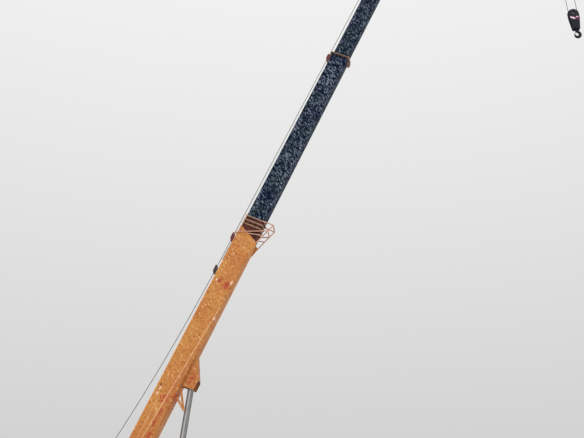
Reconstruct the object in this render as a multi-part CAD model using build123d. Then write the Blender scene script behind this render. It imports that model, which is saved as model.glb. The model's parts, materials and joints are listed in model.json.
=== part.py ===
from build123d import *
import math
import os

# A five-section telescopic crane boom with its lift cylinder, winch, hoist rope and hook block, in millimetres.
# The origin is the centre of the boom-foot pivot, Z is up, X points ahead in plan and the pivot's axis is Y.
# Boom pieces are drawn in the boom's own frame, with X along the boom and Z square to its top plate, and then raised.
LUFF = 65.5

# Boom sections, counted from the base section, which is number 1
SECTIONS = 5
BASE_HEIGHT = 720
BASE_WIDTH = 520
HEIGHT_STEP = 55
WIDTH_STEP = 50
BASE_WALL = 8
TELE_WALL = 6
CORNER = 24
BASE_TAIL = -350
BASE_FRONT = 10530
BASE_FRONT_SLANT = 420
SECOND_EXPOSED = 8070
EXPOSED = 7000
SECOND_OVERLAP = 1830
OVERLAP = 2600
OVERLAP_STEP = 300

# Foot of the base section
FOOT_BORE = 120
FOOT_TUBE = 250
FOOT_TUBE_OVERHANG = 40
FOOT_DISC = 430
FOOT_DISC_THICKNESS = 12
TAIL_BEVEL = 450
TAIL_BEVEL_HEIGHT = 250
SIDE_DOUBLER = 10
DOUBLER_TAIL_HEIGHT = 531
DOUBLER_END = 7550
HEAD_DOUBLER_LENGTH = 450
HEAD_LIP = 100

# Shroud round the second section, ahead of the base section
SHROUD_REACH = 430
SHROUD_CLEARANCE = 4
SHROUD_PLATE = 8
SHROUD_INSERT = 40
SHROUD_RIBS = 3
SHROUD_RIB = 36
SHROUD_RIB_PITCH = 150

# Guard frame of bars round the shroud, with its places measured from the base section's front
GUARD_BAR = 30
GUARD_TIP_BACK = 20
GUARD_DROP = 340
GUARD_KNOB_BACK = 320
GUARD_KNOB_RISE = 40
GUARD_BAR_FOOT = 150
GUARD_BRACE_BACK = 220
GUARD_BRACE_UP = 36
GUARD_BRACE_FOOT_BACK = 80

# Wear pads between one section and the next
PAD_LENGTH = 220
PAD_WIDTH = 90
PAD_SETBACK = 60
PAD_CLEARANCE = 0.3

# Collars at the section heads
COLLAR_LENGTH = 70
COLLAR_THICKNESS = 50
COLLAR_HOLE_CORNER = 22
COLLAR_LUG = 120
COLLAR_LUG_LENGTH = 210
COLLAR_LUG_WIDTH = 220

# Hoist rope and its guides
ROPE = 22
ROPE_RISE = 140
ROPE_CLEARANCE = 0.3
ROPE_END_GAP = 0.2
GUIDE_ROLLER = 90
GUIDE_ROLLER_WIDTH = 84
GUIDE_ROLLER_GAP = 2
GUIDE_FLANGE = 14
GUIDE_PIN = 24
GUIDE_EAR = 8
GUIDE_LENGTH = 320
GUIDE_HEIGHT = 195
GUIDE_POST = 110
GUIDE_POST_HEIGHT = 74
GUIDE_TAIL = 220
GUIDE_TAIL_HEIGHT = 70
GUIDE_LOW_BACK = 1780
GUIDE_HIGH_BACK = 450

# Lift cylinder, and the bracket that takes its rod eye
LIFT_PIN_S = 5150
LIFT_PIN_DROP = 170
LIFT_PIN = 110
LIFT_FOOT_X = 2058
LIFT_FOOT_Z = -600
BRACKET_REAR = 4760
BRACKET_FRONT = 5850
BRACKET_DEPTH = 440
BRACKET_SOLE_REAR = 4790
BRACKET_SOLE_FRONT = 5090
BRACKET_GAP = 330
BRACKET_PLATE = 25
BRACKET_WEB = 12
PIN_HEAD = 165
PIN_HEAD_THICKNESS = 15
ROD = 196
ROD_EYE = 280
ROD_EYE_WIDTH = 220
ROD_LENGTH = 2855
BARREL = 270
BARREL_BORE = 230
BARREL_LENGTH = 2915
BARREL_CAP = 60
BARREL_END = 165
BARREL_NECK = 120
GLAND = 300
GLAND_LENGTH = 90
PISTON_LENGTH = 120
FOOT_EYE = 300
FOOT_EYE_WIDTH = 240
FIT = 0.05

# Stay below the boom, behind the bracket
STAY_APEX_S = 4110
STAY_APEX_DROP = 420
STAY_TOP_REAR = 4360
STAY_TOP_FRONT = 4640
STAY_FLAT = 70
STAY_FOOT = 88
STAY_HOLE = 30
STAY_THICKNESS = 10
STAY_Y = -190

# Hoist winch on the foot
WINCH_S = 450
WINCH_RISE = 440
WINCH_COIL = 235
WINCH_CORE = 150
WINCH_FLANGE = 320
WINCH_FLANGE_THICKNESS = 14
WINCH_DRUM_LENGTH = 340
WINCH_SHAFT = 90
WINCH_BOSS = 234
WINCH_TIE = 48
WINCH_FOOT = 48
WINCH_PLATE = 16
WINCH_PLATE_GAP = 6
WINCH_GEARBOX = 300
WINCH_GEARBOX_LENGTH = 110
WINCH_MOTOR = 150
WINCH_MOTOR_LENGTH = 190

# Boom head and its sheaves
HEAD_PLATE = 16
HEAD_SLEEVE = 420
HEAD_REACH = 870
SHEAVE_PITCH = 190
SHEAVE_RIM = 30
SHEAVE_WIDTH = 60
SHEAVE_BORE = 64
SHEAVE_HUB = 116
SHEAVE_WEB = 15
SHEAVE_OPENINGS = 6
SHEAVE_OPENING = 72
SHEAVE_SPACER = 104
SPACER_GAP = 1
TOP_SHEAVE_REACH = 400
NOSE_SHEAVE_REACH = 610
NOSE_SHEAVE_DROP = 320
SOCKET_REACH = 150
SOCKET_DROP = 360
SOCKET_PIN = 34
SOCKET_LENGTH = 272
SOCKET_SHOULDER = 102
SOCKET_WIDTH = 110
SOCKET_THICKNESS = 54
SOCKET_EYE = 74

# Hook block, hanging plumb below the head
BLOCK_SHEAVE_Z = 18740
BLOCK_PITCH = 175
BLOCK_TOP_RADIUS = 215
BLOCK_DEPTH = 790
BLOCK_FOOT_WIDTH = 250
BLOCK_CHEEK = 14
BLOCK_WEIGHT = 48
BLOCK_GAP = 4
BLOCK_SPREADER = 44
BLOCK_SPREADER_DROP = 66
BLOCK_SPREADER_REACH = 122
PIN_SPACER = 90
CROSSHEAD = 96
CROSSHEAD_LENGTH = 172
TRUNNION = 64
SHANK = 72
SHANK_THREAD = 48
HOOK_HALF_WIDTH = 105
HOOK_HALF_HEIGHT = 128
HOOK_SECTION = 84
HOOK_SWELL = 0.45
HOOK_TAPER = 0.45
HOOK_CENTRE_DROP = 1010
HOOK_TURN = 275
HOOK_STEPS = 7
HOOK_GAP = 2
LATCH_THICKNESS = 10
LATCH_WIDTH = 40
LATCH_PIN = 12
LATCH_LUG = 17
LATCH_SIDE_GAP = 1
LATCH_ROUND_GAP = 6
LATCH_STANDOFF = 2


def section_height(number):
    return BASE_HEIGHT - (number - 1) * HEIGHT_STEP


def section_width(number):
    return BASE_WIDTH - (number - 1) * WIDTH_STEP


def section_wall(number):
    return BASE_WALL if number == 1 else TELE_WALL


def section_head(number):
    return BASE_FRONT if number == 1 else BASE_FRONT + SECOND_EXPOSED + (number - 2) * EXPOSED


def section_tail(number):
    if number == 2:
        return BASE_FRONT - SECOND_OVERLAP
    return section_head(number - 1) - OVERLAP + (number - 3) * OVERLAP_STEP


def raised(shape):
    """Tilts a piece from the boom's own frame to the luff."""
    return Rot(0, -LUFF, 0) * shape


def to_world(along, up):
    """X and Z of a point given along the boom and square to it."""
    tilt = math.radians(LUFF)
    return (
        along * math.cos(tilt) - up * math.sin(tilt),
        along * math.sin(tilt) + up * math.cos(tilt),
    )


def to_boom(x, z):
    """The place along and square to the boom of a point given in X and Z."""
    tilt = math.radians(LUFF)
    return (
        x * math.cos(tilt) + z * math.sin(tilt),
        z * math.cos(tilt) - x * math.sin(tilt),
    )


def plate(points, low, high):
    """A flat plate with its outline in the X-Z plane, between two Y values."""
    outline = make_face(Polyline(*points, close=True))
    return Pos(0, low, 0) * extrude(Plane.XZ * outline, amount=low - high)


def cross_bar(radius, x, z, low, high):
    """A round bar along Y between two Y values."""
    return Pos(x, (low + high) / 2, z) * Rot(90, 0, 0) * Cylinder(radius, high - low)


def long_bar(radius, start, end):
    """A round bar along X between two X values."""
    return Pos((start + end) / 2, 0, 0) * Rot(0, 90, 0) * Cylinder(radius, end - start)


def flat_bar(start, end, depth, low, high):
    """A flat bar from one X-Z point to another, between two Y values."""
    run = math.hypot(end[0] - start[0], end[1] - start[1])
    side_x = -(end[1] - start[1]) / run * depth / 2
    side_z = (end[0] - start[0]) / run * depth / 2
    corners = [
        (start[0] + side_x, start[1] + side_z),
        (end[0] + side_x, end[1] + side_z),
        (end[0] - side_x, end[1] - side_z),
        (start[0] - side_x, start[1] - side_z),
    ]
    return plate(corners, low, high)


def ring(height, width, corner, thickness, hole_corner, start, end):
    """A rectangular ring round the boom, measured by the hole, between two places along it."""
    outer = RectangleRounded(width + 2 * thickness, height + 2 * thickness, corner)
    hole = RectangleRounded(width, height, hole_corner)
    return extrude(Plane.YZ.offset(start) * (outer - hole), amount=end - start)


def section_tube(number, start, end):
    wall = section_wall(number)
    height = section_height(number) - 2 * wall
    width = section_width(number) - 2 * wall
    return ring(height, width, CORNER, wall, CORNER - wall, start, end)


def front_edge(up):
    """Where the base section's slanted front edge lies at a height square to the boom."""
    return BASE_FRONT - (BASE_HEIGHT / 2 - up) * BASE_FRONT_SLANT / (BASE_HEIGHT + HEAD_LIP)


def base_boom():
    half = BASE_HEIGHT / 2
    side = BASE_WIDTH / 2
    body = section_tube(1, BASE_TAIL, BASE_FRONT)
    sole = -half + CORNER
    lip = -half - HEAD_LIP
    for sign in (-1, 1):
        low, high = sorted((sign * side, sign * (side + SIDE_DOUBLER)))
        body += plate(
            [(BASE_TAIL, sole), (BASE_TAIL, sole + DOUBLER_TAIL_HEIGHT), (DOUBLER_END, sole)],
            low,
            high,
        )
        head = [
            (front_edge(half) - HEAD_DOUBLER_LENGTH, half - CORNER),
            (front_edge(half - CORNER), half - CORNER),
            (front_edge(lip), lip),
            (front_edge(-half) - HEAD_DOUBLER_LENGTH, -half),
            (front_edge(-half) - HEAD_DOUBLER_LENGTH, sole),
        ]
        body += plate(head, low, high)
        disc_low, disc_high = sorted((sign * side, sign * (side + FOOT_DISC_THICKNESS + SIDE_DOUBLER)))
        body += cross_bar(FOOT_DISC / 2, 0, 0, disc_low, disc_high)
    overhang = side + FOOT_TUBE_OVERHANG
    body += cross_bar(FOOT_TUBE / 2, 0, 0, -overhang, overhang)
    body -= cross_bar(FOOT_BORE / 2, 0, 0, -overhang, overhang)
    beyond = BASE_FRONT + BASE_HEIGHT
    body -= plate(
        [
            (front_edge(half), half),
            (front_edge(lip), lip),
            (front_edge(lip), lip - half),
            (beyond, lip - half),
            (beyond, half),
        ],
        -BASE_WIDTH,
        BASE_WIDTH,
    )
    body -= plate(
        [
            (BASE_TAIL, -half + TAIL_BEVEL_HEIGHT),
            (BASE_TAIL + TAIL_BEVEL, -half),
            (BASE_TAIL, -half),
        ],
        -BASE_WIDTH,
        BASE_WIDTH,
    )
    return body


def head_shroud():
    """A sleeve round the second section, from inside the base section's mouth, with outer ribs."""
    height = section_height(2) + 2 * SHROUD_CLEARANCE
    width = section_width(2) + 2 * SHROUD_CLEARANCE
    hole_corner = CORNER + SHROUD_CLEARANCE
    start = front_edge(-BASE_HEIGHT / 2) - SHROUD_INSERT
    end = BASE_FRONT + SHROUD_REACH
    body = ring(height, width, hole_corner + SHROUD_PLATE, SHROUD_PLATE, hole_corner, start, end)
    rib = BASE_WIDTH / 2 + SIDE_DOUBLER - width / 2
    for number in range(SHROUD_RIBS):
        front = end - number * SHROUD_RIB_PITCH
        body += ring(height, width, hole_corner, rib, hole_corner, front - SHROUD_RIB, front)
    return body


def guard_frame():
    """On each side a rail, a chord below, two slanted bars and a post, joined by cross bars."""
    half = BASE_HEIGHT / 2
    inner = BASE_WIDTH / 2 + SIDE_DOUBLER
    outer = inner + GUARD_BAR
    front = BASE_FRONT + SHROUD_REACH
    rail = half - 1.5 * GUARD_BAR
    lip = -half - HEAD_LIP + GUARD_BAR
    chord = (front_edge(lip) - GUARD_BAR, lip)
    tip = (front - GUARD_TIP_BACK, -half - GUARD_DROP)
    slope = (tip[1] - chord[1]) / (tip[0] - chord[0])
    feet = []
    for place in (BASE_FRONT + GUARD_BAR_FOOT, BASE_FRONT - GUARD_BRACE_FOOT_BACK):
        feet.append((place, chord[1] + (place - chord[0]) * slope))
    knob = (BASE_FRONT - GUARD_KNOB_BACK, half + GUARD_KNOB_RISE)
    bars = [
        ((knob[0], rail), (front, rail)),
        (chord, tip),
        (knob, feet[0]),
        ((BASE_FRONT - GUARD_BRACE_BACK, GUARD_BRACE_UP), feet[1]),
        ((front - GUARD_BAR / 2, -half + 2 * GUARD_BAR), tip),
    ]
    frame = None
    for start, end in bars:
        for low, high in ((inner, outer), (-outer, -inner)):
            bar = flat_bar(start, end, GUARD_BAR, low, high)
            frame = bar if frame is None else frame + bar
    for place in (knob, feet[0], tip):
        frame += Pos(place[0], 0, place[1]) * Box(GUARD_BAR, 2 * outer, GUARD_BAR)
    return frame


def pad_blocks(height, width, thickness_up, thickness_side, start, outward):
    """Pads on the four walls of a rectangle, growing outward or inward from it."""
    grow = 1 if outward else -1
    middle = start + PAD_LENGTH / 2
    blocks = []
    for sign in (-1, 1):
        up = sign * (height / 2 + grow * thickness_up / 2)
        across = sign * (width / 2 + grow * thickness_side / 2)
        for part in (-1, 1):
            flat = Box(PAD_LENGTH, PAD_WIDTH, thickness_up)
            upright = Box(PAD_LENGTH, thickness_side, PAD_WIDTH)
            blocks.append(Pos(middle, part * width / 4, up) * flat)
            blocks.append(Pos(middle, across, part * height / 4) * upright)
    return Compound(children=blocks)


def section_gaps(outer_number):
    """Gaps between one section's inner walls and the next section, square to the boom and across."""
    wall = section_wall(outer_number)
    inner_height = section_height(outer_number) - 2 * wall
    inner_width = section_width(outer_number) - 2 * wall
    gap_up = (inner_height - section_height(outer_number + 1)) / 2
    gap_side = (inner_width - section_width(outer_number + 1)) / 2
    return inner_height, inner_width, gap_up, gap_side


def head_pads(outer_number):
    """Pads fixed inside a section's head, which the next section slides on."""
    height, width, gap_up, gap_side = section_gaps(outer_number)
    head = front_edge(-BASE_HEIGHT / 2) if outer_number == 1 else section_head(outer_number)
    start = head - PAD_SETBACK - PAD_LENGTH
    return pad_blocks(height, width, gap_up - PAD_CLEARANCE, gap_side - PAD_CLEARANCE, start, False)


def tail_pads(number):
    """Pads fixed on the outside of a section's tail."""
    _, _, gap_up, gap_side = section_gaps(number - 1)
    height = section_height(number)
    width = section_width(number)
    start = section_tail(number) + PAD_SETBACK
    return pad_blocks(height, width, gap_up - PAD_CLEARANCE, gap_side - PAD_CLEARANCE, start, True)


def collar(number):
    """The reinforcing ring round a section's head, with the lug behind it on the underside."""
    height = section_height(number)
    width = section_width(number)
    head = section_head(number)
    start = head - COLLAR_LENGTH
    body = ring(height, width, CORNER, COLLAR_THICKNESS, COLLAR_HOLE_CORNER, start, head)
    rear = head - COLLAR_LUG_LENGTH
    sole = -height / 2
    lug = [
        (rear, sole),
        (rear, sole - COLLAR_LUG),
        (start, sole - COLLAR_LUG),
        (head, sole - COLLAR_THICKNESS),
        (head, sole),
    ]
    return body + plate(lug, -COLLAR_LUG_WIDTH / 2, COLLAR_LUG_WIDTH / 2)


def guide_bracket(number, centre, ear, foot_start, foot_end):
    """Two ears on a foot plate, the pin that carries the roller, and a keeper pin over the rope."""
    inner = GUIDE_ROLLER_WIDTH / 2 + GUIDE_ROLLER_GAP
    outer = inner + GUIDE_EAR
    seat = section_height(number) / 2
    body = plate(ear, inner, outer) + plate(ear, -outer, -inner)
    foot = Box(foot_end - foot_start, 2 * outer, GUIDE_EAR)
    body += Pos((foot_start + foot_end) / 2, 0, seat + GUIDE_EAR / 2) * foot
    body += cross_bar(GUIDE_PIN / 2, centre, roller_axis(number), -outer, outer)
    keeper = rope_height(number) + ROPE / 2 + GUIDE_PIN / 2 + GUIDE_EAR
    return body + cross_bar(GUIDE_PIN / 2, centre, keeper, -outer, outer)


def base_guide(centre):
    """A guide on top of the base section, its ears standing on a narrow post."""
    seat = BASE_HEIGHT / 2
    post = GUIDE_POST / 2
    half = GUIDE_LENGTH / 2
    low = seat + GUIDE_POST_HEIGHT
    high = seat + GUIDE_HEIGHT
    ear = [
        (centre - post, seat),
        (centre - post, low),
        (centre - half, low),
        (centre - half, (low + high) / 2),
        (centre - post, high),
        (centre + half, high),
        (centre + half, (low + high) / 2),
        (centre + post, low),
        (centre + post, seat),
    ]
    return guide_bracket(1, centre, ear, centre - post, centre + post)


def collar_guide(number):
    """A guide behind a section's collar, its ears tapering to the rear and stepping over the collar."""
    seat = section_height(number) / 2
    head = section_head(number)
    centre = guide_place(number)
    rear = centre - GUIDE_TAIL
    step = head - COLLAR_LENGTH
    ear = [
        (rear, seat),
        (rear, seat + GUIDE_TAIL_HEIGHT),
        (centre - GUIDE_ROLLER / 2, seat + GUIDE_HEIGHT),
        (head, seat + GUIDE_HEIGHT),
        (head, seat + COLLAR_THICKNESS),
        (step, seat + COLLAR_THICKNESS),
        (step, seat),
    ]
    return guide_bracket(number, centre, ear, rear, step)


def roller_axis(number):
    """Height of a guide roller's axis, with the rope lying in its groove."""
    return rope_height(number) - ROPE_CLEARANCE - GUIDE_ROLLER / 2


def guide_roller(number, centre):
    """A waisted roller, bored for its pin."""
    half = GUIDE_ROLLER_WIDTH / 2
    rim = GUIDE_ROLLER / 2
    waist = rim - ROPE / 2
    profile = make_face(
        Polyline(
            (GUIDE_PIN / 2 + FIT, -half),
            (rim, -half),
            (rim, -half + GUIDE_FLANGE),
            (waist, -half + 2 * GUIDE_FLANGE),
            (waist, half - 2 * GUIDE_FLANGE),
            (rim, half - GUIDE_FLANGE),
            (rim, half),
            (GUIDE_PIN / 2 + FIT, half),
            close=True,
        )
    )
    roller = revolve(profile, Axis.Y)
    return Pos(centre, 0, roller_axis(number)) * roller


def guide_place(number):
    """Where a section's roller stands, clear behind its collar."""
    return section_head(number) - COLLAR_LENGTH - GUIDE_ROLLER


def low_guide():
    return BASE_FRONT - GUIDE_LOW_BACK


def high_guide():
    return BASE_FRONT - GUIDE_HIGH_BACK


def rope_run(start, end):
    """A taut stretch of rope between two X-Z points."""
    run = math.hypot(end[0] - start[0], end[1] - start[1])
    tilt = math.degrees(math.atan2(end[1] - start[1], end[0] - start[0]))
    bar = long_bar(ROPE / 2, ROPE_END_GAP, run - ROPE_END_GAP)
    return Pos(start[0], 0, start[1]) * Rot(0, -tilt, 0) * bar


def rope_height(number):
    return section_height(number) / 2 + ROPE_RISE


def winch_centre():
    return WINCH_S, BASE_HEIGHT / 2 + WINCH_RISE


def slack_radius():
    """Radius of the rope's sag, flat over the low guide and tangent to the top of the coil."""
    along = low_guide() - winch_centre()[0]
    up = rope_height(1) - winch_centre()[1]
    return (along**2 + up**2 - WINCH_COIL**2) / (2 * (WINCH_COIL - up))


def base_rope():
    """The rope from the winch's coil, sagging to the low guide and then straight to the high one."""
    radius = slack_radius()
    centre_s, centre_t = winch_centre()
    top_t = rope_height(1) + radius
    low = (low_guide(), rope_height(1))
    high = (high_guide() - ROPE_END_GAP, rope_height(1))
    reach = math.hypot(low[0] - centre_s, top_t - centre_t)
    leave_s = centre_s + (low[0] - centre_s) * WINCH_COIL / reach
    leave_t = centre_t + (top_t - centre_t) * WINCH_COIL / reach
    half_angle = math.asin((low[0] - leave_s) / radius) / 2
    middle = (low[0] - radius * math.sin(half_angle), top_t - radius * math.cos(half_angle))
    slack = Plane.XZ * ThreePointArc((leave_s, leave_t), middle, low)
    straight = Plane.XZ * Line(low, high)
    path = Wire([slack.edge(), straight.edge()])
    section = Plane(path @ 0, z_dir=path % 0) * Circle(ROPE / 2)
    return sweep(section, path=path)


def lift_bracket():
    half = BASE_HEIGHT / 2
    sole = -half - BRACKET_DEPTH
    inner = BRACKET_GAP / 2
    outer = inner + BRACKET_PLATE
    cheek = [
        (BRACKET_REAR, -half),
        (BRACKET_SOLE_REAR, sole),
        (BRACKET_SOLE_FRONT, sole),
        (BRACKET_FRONT, -half),
    ]
    body = plate(cheek, inner, outer) + plate(cheek, -outer, -inner)
    web = [
        (BRACKET_SOLE_FRONT - 2 * BRACKET_WEB, sole),
        (BRACKET_SOLE_FRONT, sole),
        (BRACKET_FRONT, -half),
        (BRACKET_FRONT - 2 * BRACKET_WEB, -half),
    ]
    body += plate(web, -inner, inner)
    body -= cross_bar(LIFT_PIN / 2 + FIT, LIFT_PIN_S, -half - LIFT_PIN_DROP, -outer, outer)
    return body


def lift_pin():
    """The pin through the bracket, with a head at each end and a spacer on each side of the rod eye."""
    place = (LIFT_PIN_S, -BASE_HEIGHT / 2 - LIFT_PIN_DROP)
    outer = BRACKET_GAP / 2 + BRACKET_PLATE
    body = cross_bar(LIFT_PIN / 2, *place, -outer, outer)
    for sign in (-1, 1):
        low, high = sorted((sign * outer, sign * (outer + PIN_HEAD_THICKNESS)))
        body += cross_bar(PIN_HEAD / 2, *place, low, high)
        low, high = sorted((sign * (ROD_EYE_WIDTH / 2 + FIT), sign * BRACKET_GAP / 2))
        body += cross_bar(PIN_HEAD / 2, *place, low, high)
    return body


def lift_line():
    """Length of the cylinder from pin to foot, and its angle below the line back along the boom."""
    foot_s, foot_t = to_boom(LIFT_FOOT_X, LIFT_FOOT_Z)
    back = LIFT_PIN_S - foot_s
    down = -BASE_HEIGHT / 2 - LIFT_PIN_DROP - foot_t
    return math.hypot(back, down), math.degrees(math.atan2(down, back))


def on_lift_line(shape):
    """Places a piece drawn with X running from the rod eye's centre to the foot."""
    place = Pos(LIFT_PIN_S, 0, -BASE_HEIGHT / 2 - LIFT_PIN_DROP)
    return place * Rot(0, 180 - lift_line()[1], 0) * shape


def lift_rod():
    body = long_bar(ROD / 2, 0, ROD_LENGTH)
    body += long_bar(BARREL_BORE / 2 - ROPE_CLEARANCE, ROD_LENGTH - PISTON_LENGTH, ROD_LENGTH)
    body += cross_bar(ROD_EYE / 2, 0, 0, -ROD_EYE_WIDTH / 2, ROD_EYE_WIDTH / 2)
    body -= cross_bar(LIFT_PIN / 2 + FIT, 0, 0, -ROD_EYE_WIDTH / 2, ROD_EYE_WIDTH / 2)
    return body


def lift_barrel():
    """The barrel, closed by its cap, and the foot eye on a neck as wide as the eye."""
    length = lift_line()[0]
    mouth = length - BARREL_LENGTH + GLAND_LENGTH
    end = length - BARREL_END
    body = long_bar(BARREL / 2, mouth, end)
    body -= long_bar(BARREL_BORE / 2, mouth, end - BARREL_CAP)
    body += Pos(length - BARREL_END / 2, 0, 0) * Box(BARREL_END, FOOT_EYE_WIDTH, BARREL_NECK)
    body += cross_bar(FOOT_EYE / 2, length, 0, -FOOT_EYE_WIDTH / 2, FOOT_EYE_WIDTH / 2)
    body -= cross_bar(LIFT_PIN / 2, length, 0, -FOOT_EYE_WIDTH / 2, FOOT_EYE_WIDTH / 2)
    return body


def lift_gland():
    """The screwed gland at the barrel's mouth, with its chamfered nose."""
    start = lift_line()[0] - BARREL_LENGTH
    body = long_bar(GLAND / 2, start, start + GLAND_LENGTH)
    body = chamfer(body.edges().filter_by(GeomType.CIRCLE).sort_by(Axis.X)[0], GLAND_LENGTH / 5)
    return body - long_bar(ROD / 2 + ROPE_CLEARANCE, start, start + GLAND_LENGTH)


def stay():
    """Two flat bars that hang from the underside and meet at a bolted apex."""
    sole = -BASE_HEIGHT / 2
    low, high = STAY_Y - STAY_THICKNESS / 2, STAY_Y + STAY_THICKNESS / 2
    apex = (STAY_APEX_S, sole - STAY_APEX_DROP)
    body = flat_bar((STAY_TOP_REAR, sole - STAY_FOOT / 2), apex, STAY_FLAT, low, high)
    body += flat_bar((STAY_TOP_FRONT, sole - STAY_FOOT / 2), apex, STAY_FLAT, low, high)
    for top in (STAY_TOP_REAR, STAY_TOP_FRONT):
        body += Pos(top, STAY_Y, sole - STAY_FOOT / 2) * Box(STAY_FOOT, STAY_THICKNESS, STAY_FOOT)
        body += Pos(top, STAY_Y, sole - STAY_THICKNESS / 2) * Box(STAY_FOOT, STAY_FOOT, STAY_THICKNESS)
    body += cross_bar(STAY_FOOT / 2, *apex, low, high)
    body -= cross_bar(STAY_HOLE / 2, *apex, low, high)
    return body


def winch_frame():
    """Two side plates on foot flanges, a tie bar, and the gearbox and motor on one side."""
    seat = BASE_HEIGHT / 2
    centre_s, centre_t = winch_centre()
    inner = WINCH_DRUM_LENGTH / 2 + WINCH_FLANGE_THICKNESS + WINCH_PLATE_GAP
    outer = inner + WINCH_PLATE
    side = [
        (centre_s - WINCH_FLANGE, seat),
        (centre_s - WINCH_SHAFT, centre_t + WINCH_SHAFT),
        (centre_s + WINCH_SHAFT, centre_t + WINCH_SHAFT),
        (centre_s + WINCH_FLANGE, seat),
    ]
    body = plate(side, inner, outer) + plate(side, -outer, -inner)
    for sign in (-1, 1):
        low, high = sorted((sign * outer, sign * inner))
        body += cross_bar(WINCH_BOSS / 2, centre_s, centre_t, low, high)
        foot = Box(2 * WINCH_FLANGE, WINCH_FOOT, WINCH_PLATE)
        body += Pos(centre_s, sign * (inner - WINCH_PLATE / 2), seat + WINCH_PLATE / 2) * foot
    body += cross_bar(WINCH_TIE / 2, centre_s - WINCH_FLANGE + WINCH_TIE, seat + WINCH_TIE, -inner, inner)
    body += cross_bar(WINCH_GEARBOX / 2, centre_s, centre_t, outer, outer + WINCH_GEARBOX_LENGTH)
    end = -outer - WINCH_MOTOR_LENGTH
    body += cross_bar(WINCH_MOTOR / 2, centre_s, centre_t, end, -outer)
    body -= cross_bar(WINCH_SHAFT / 2 + FIT, centre_s, centre_t, -outer, outer)
    return body


def winch_drum():
    """Drum with two flanges and stub shafts in the side plates."""
    half = WINCH_DRUM_LENGTH / 2
    shaft_end = half + WINCH_FLANGE_THICKNESS + WINCH_PLATE_GAP + WINCH_PLATE - ROPE_CLEARANCE
    centre_s, centre_t = winch_centre()
    body = cross_bar(WINCH_SHAFT / 2, centre_s, centre_t, -shaft_end, shaft_end)
    body += cross_bar(WINCH_CORE, centre_s, centre_t, -half, half)
    for sign in (-1, 1):
        low, high = sorted((sign * half, sign * (half + WINCH_FLANGE_THICKNESS)))
        body += cross_bar(WINCH_FLANGE, centre_s, centre_t, low, high)
    return body


def winch_coil():
    """The rope wound on the drum, up to the layer that the outgoing rope lies on."""
    half = WINCH_DRUM_LENGTH / 2
    centre_s, centre_t = winch_centre()
    outer = WINCH_COIL - ROPE / 2 - ROPE_CLEARANCE
    coil = cross_bar(outer, centre_s, centre_t, -half, half)
    return coil - cross_bar(WINCH_CORE, centre_s, centre_t, -half, half)


def top_sheave_centre():
    rim_drop = section_height(SECTIONS) / 2 + ROPE_RISE - SHEAVE_PITCH
    return section_head(SECTIONS) + TOP_SHEAVE_REACH, rim_drop


def nose_sheave_centre():
    return section_head(SECTIONS) + NOSE_SHEAVE_REACH, -NOSE_SHEAVE_DROP


def socket_pin_centre():
    return section_head(SECTIONS) + SOCKET_REACH, -SOCKET_DROP


def head_frame():
    """Sleeve round the last section and two side plates that carry the sheaves and the rope's dead end."""
    height = section_height(SECTIONS)
    inner = section_width(SECTIONS) / 2
    outer = inner + HEAD_PLATE
    head = section_head(SECTIONS)
    body = ring(height, 2 * inner, CORNER, HEAD_PLATE, COLLAR_HOLE_CORNER, head - HEAD_SLEEVE, head)
    top_s, top_t = top_sheave_centre()
    nose_s, nose_t = nose_sheave_centre()
    side = [
        (head - HEAD_SLEEVE, -height / 2 + CORNER),
        (head - HEAD_SLEEVE, height / 2 - CORNER),
        (head - HEAD_SLEEVE / 2, top_t + SHEAVE_PITCH + ROPE),
        (top_s + SHEAVE_PITCH / 2, top_t + SHEAVE_PITCH + ROPE),
        (head + HEAD_REACH, top_t),
        (head + HEAD_REACH, nose_t - SHEAVE_PITCH / 3),
        (nose_s + SHEAVE_PITCH / 3, nose_t - SHEAVE_PITCH),
        (head, nose_t - SHEAVE_PITCH),
    ]
    for sign in (-1, 1):
        low, high = sorted((sign * inner, sign * outer))
        cheek = plate(side, low, high)
        for place in ((top_s, top_t), (nose_s, nose_t)):
            cheek += cross_bar(SHEAVE_BORE, *place, *sorted((sign * outer, sign * (outer + HEAD_PLATE))))
        body += cheek
    for place in ((top_s, top_t), (nose_s, nose_t)):
        body -= cross_bar(SHEAVE_BORE / 2, *place, -outer - HEAD_PLATE, outer + HEAD_PLATE)
    body -= cross_bar(SOCKET_PIN / 2 + FIT, *socket_pin_centre(), -outer, outer)
    brace = Box(HEAD_PLATE, 2 * inner, 2 * SHEAVE_PITCH)
    body += Pos(head + HEAD_PLATE / 2, 0, nose_t + SHEAVE_PITCH) * brace
    return body


def sheave_pin(centre):
    """A sheave's pin, with a spacer on each side that reaches the head's side plates."""
    inner = section_width(SECTIONS) / 2
    outer = inner + 2 * HEAD_PLATE
    body = cross_bar(SHEAVE_BORE / 2 - FIT, *centre, -outer, outer)
    for sign in (-1, 1):
        low, high = sorted((sign * (SHEAVE_WIDTH / 2 + SPACER_GAP), sign * (inner - FIT)))
        body += cross_bar(SHEAVE_SPACER / 2, *centre, low, high)
    return body


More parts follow.
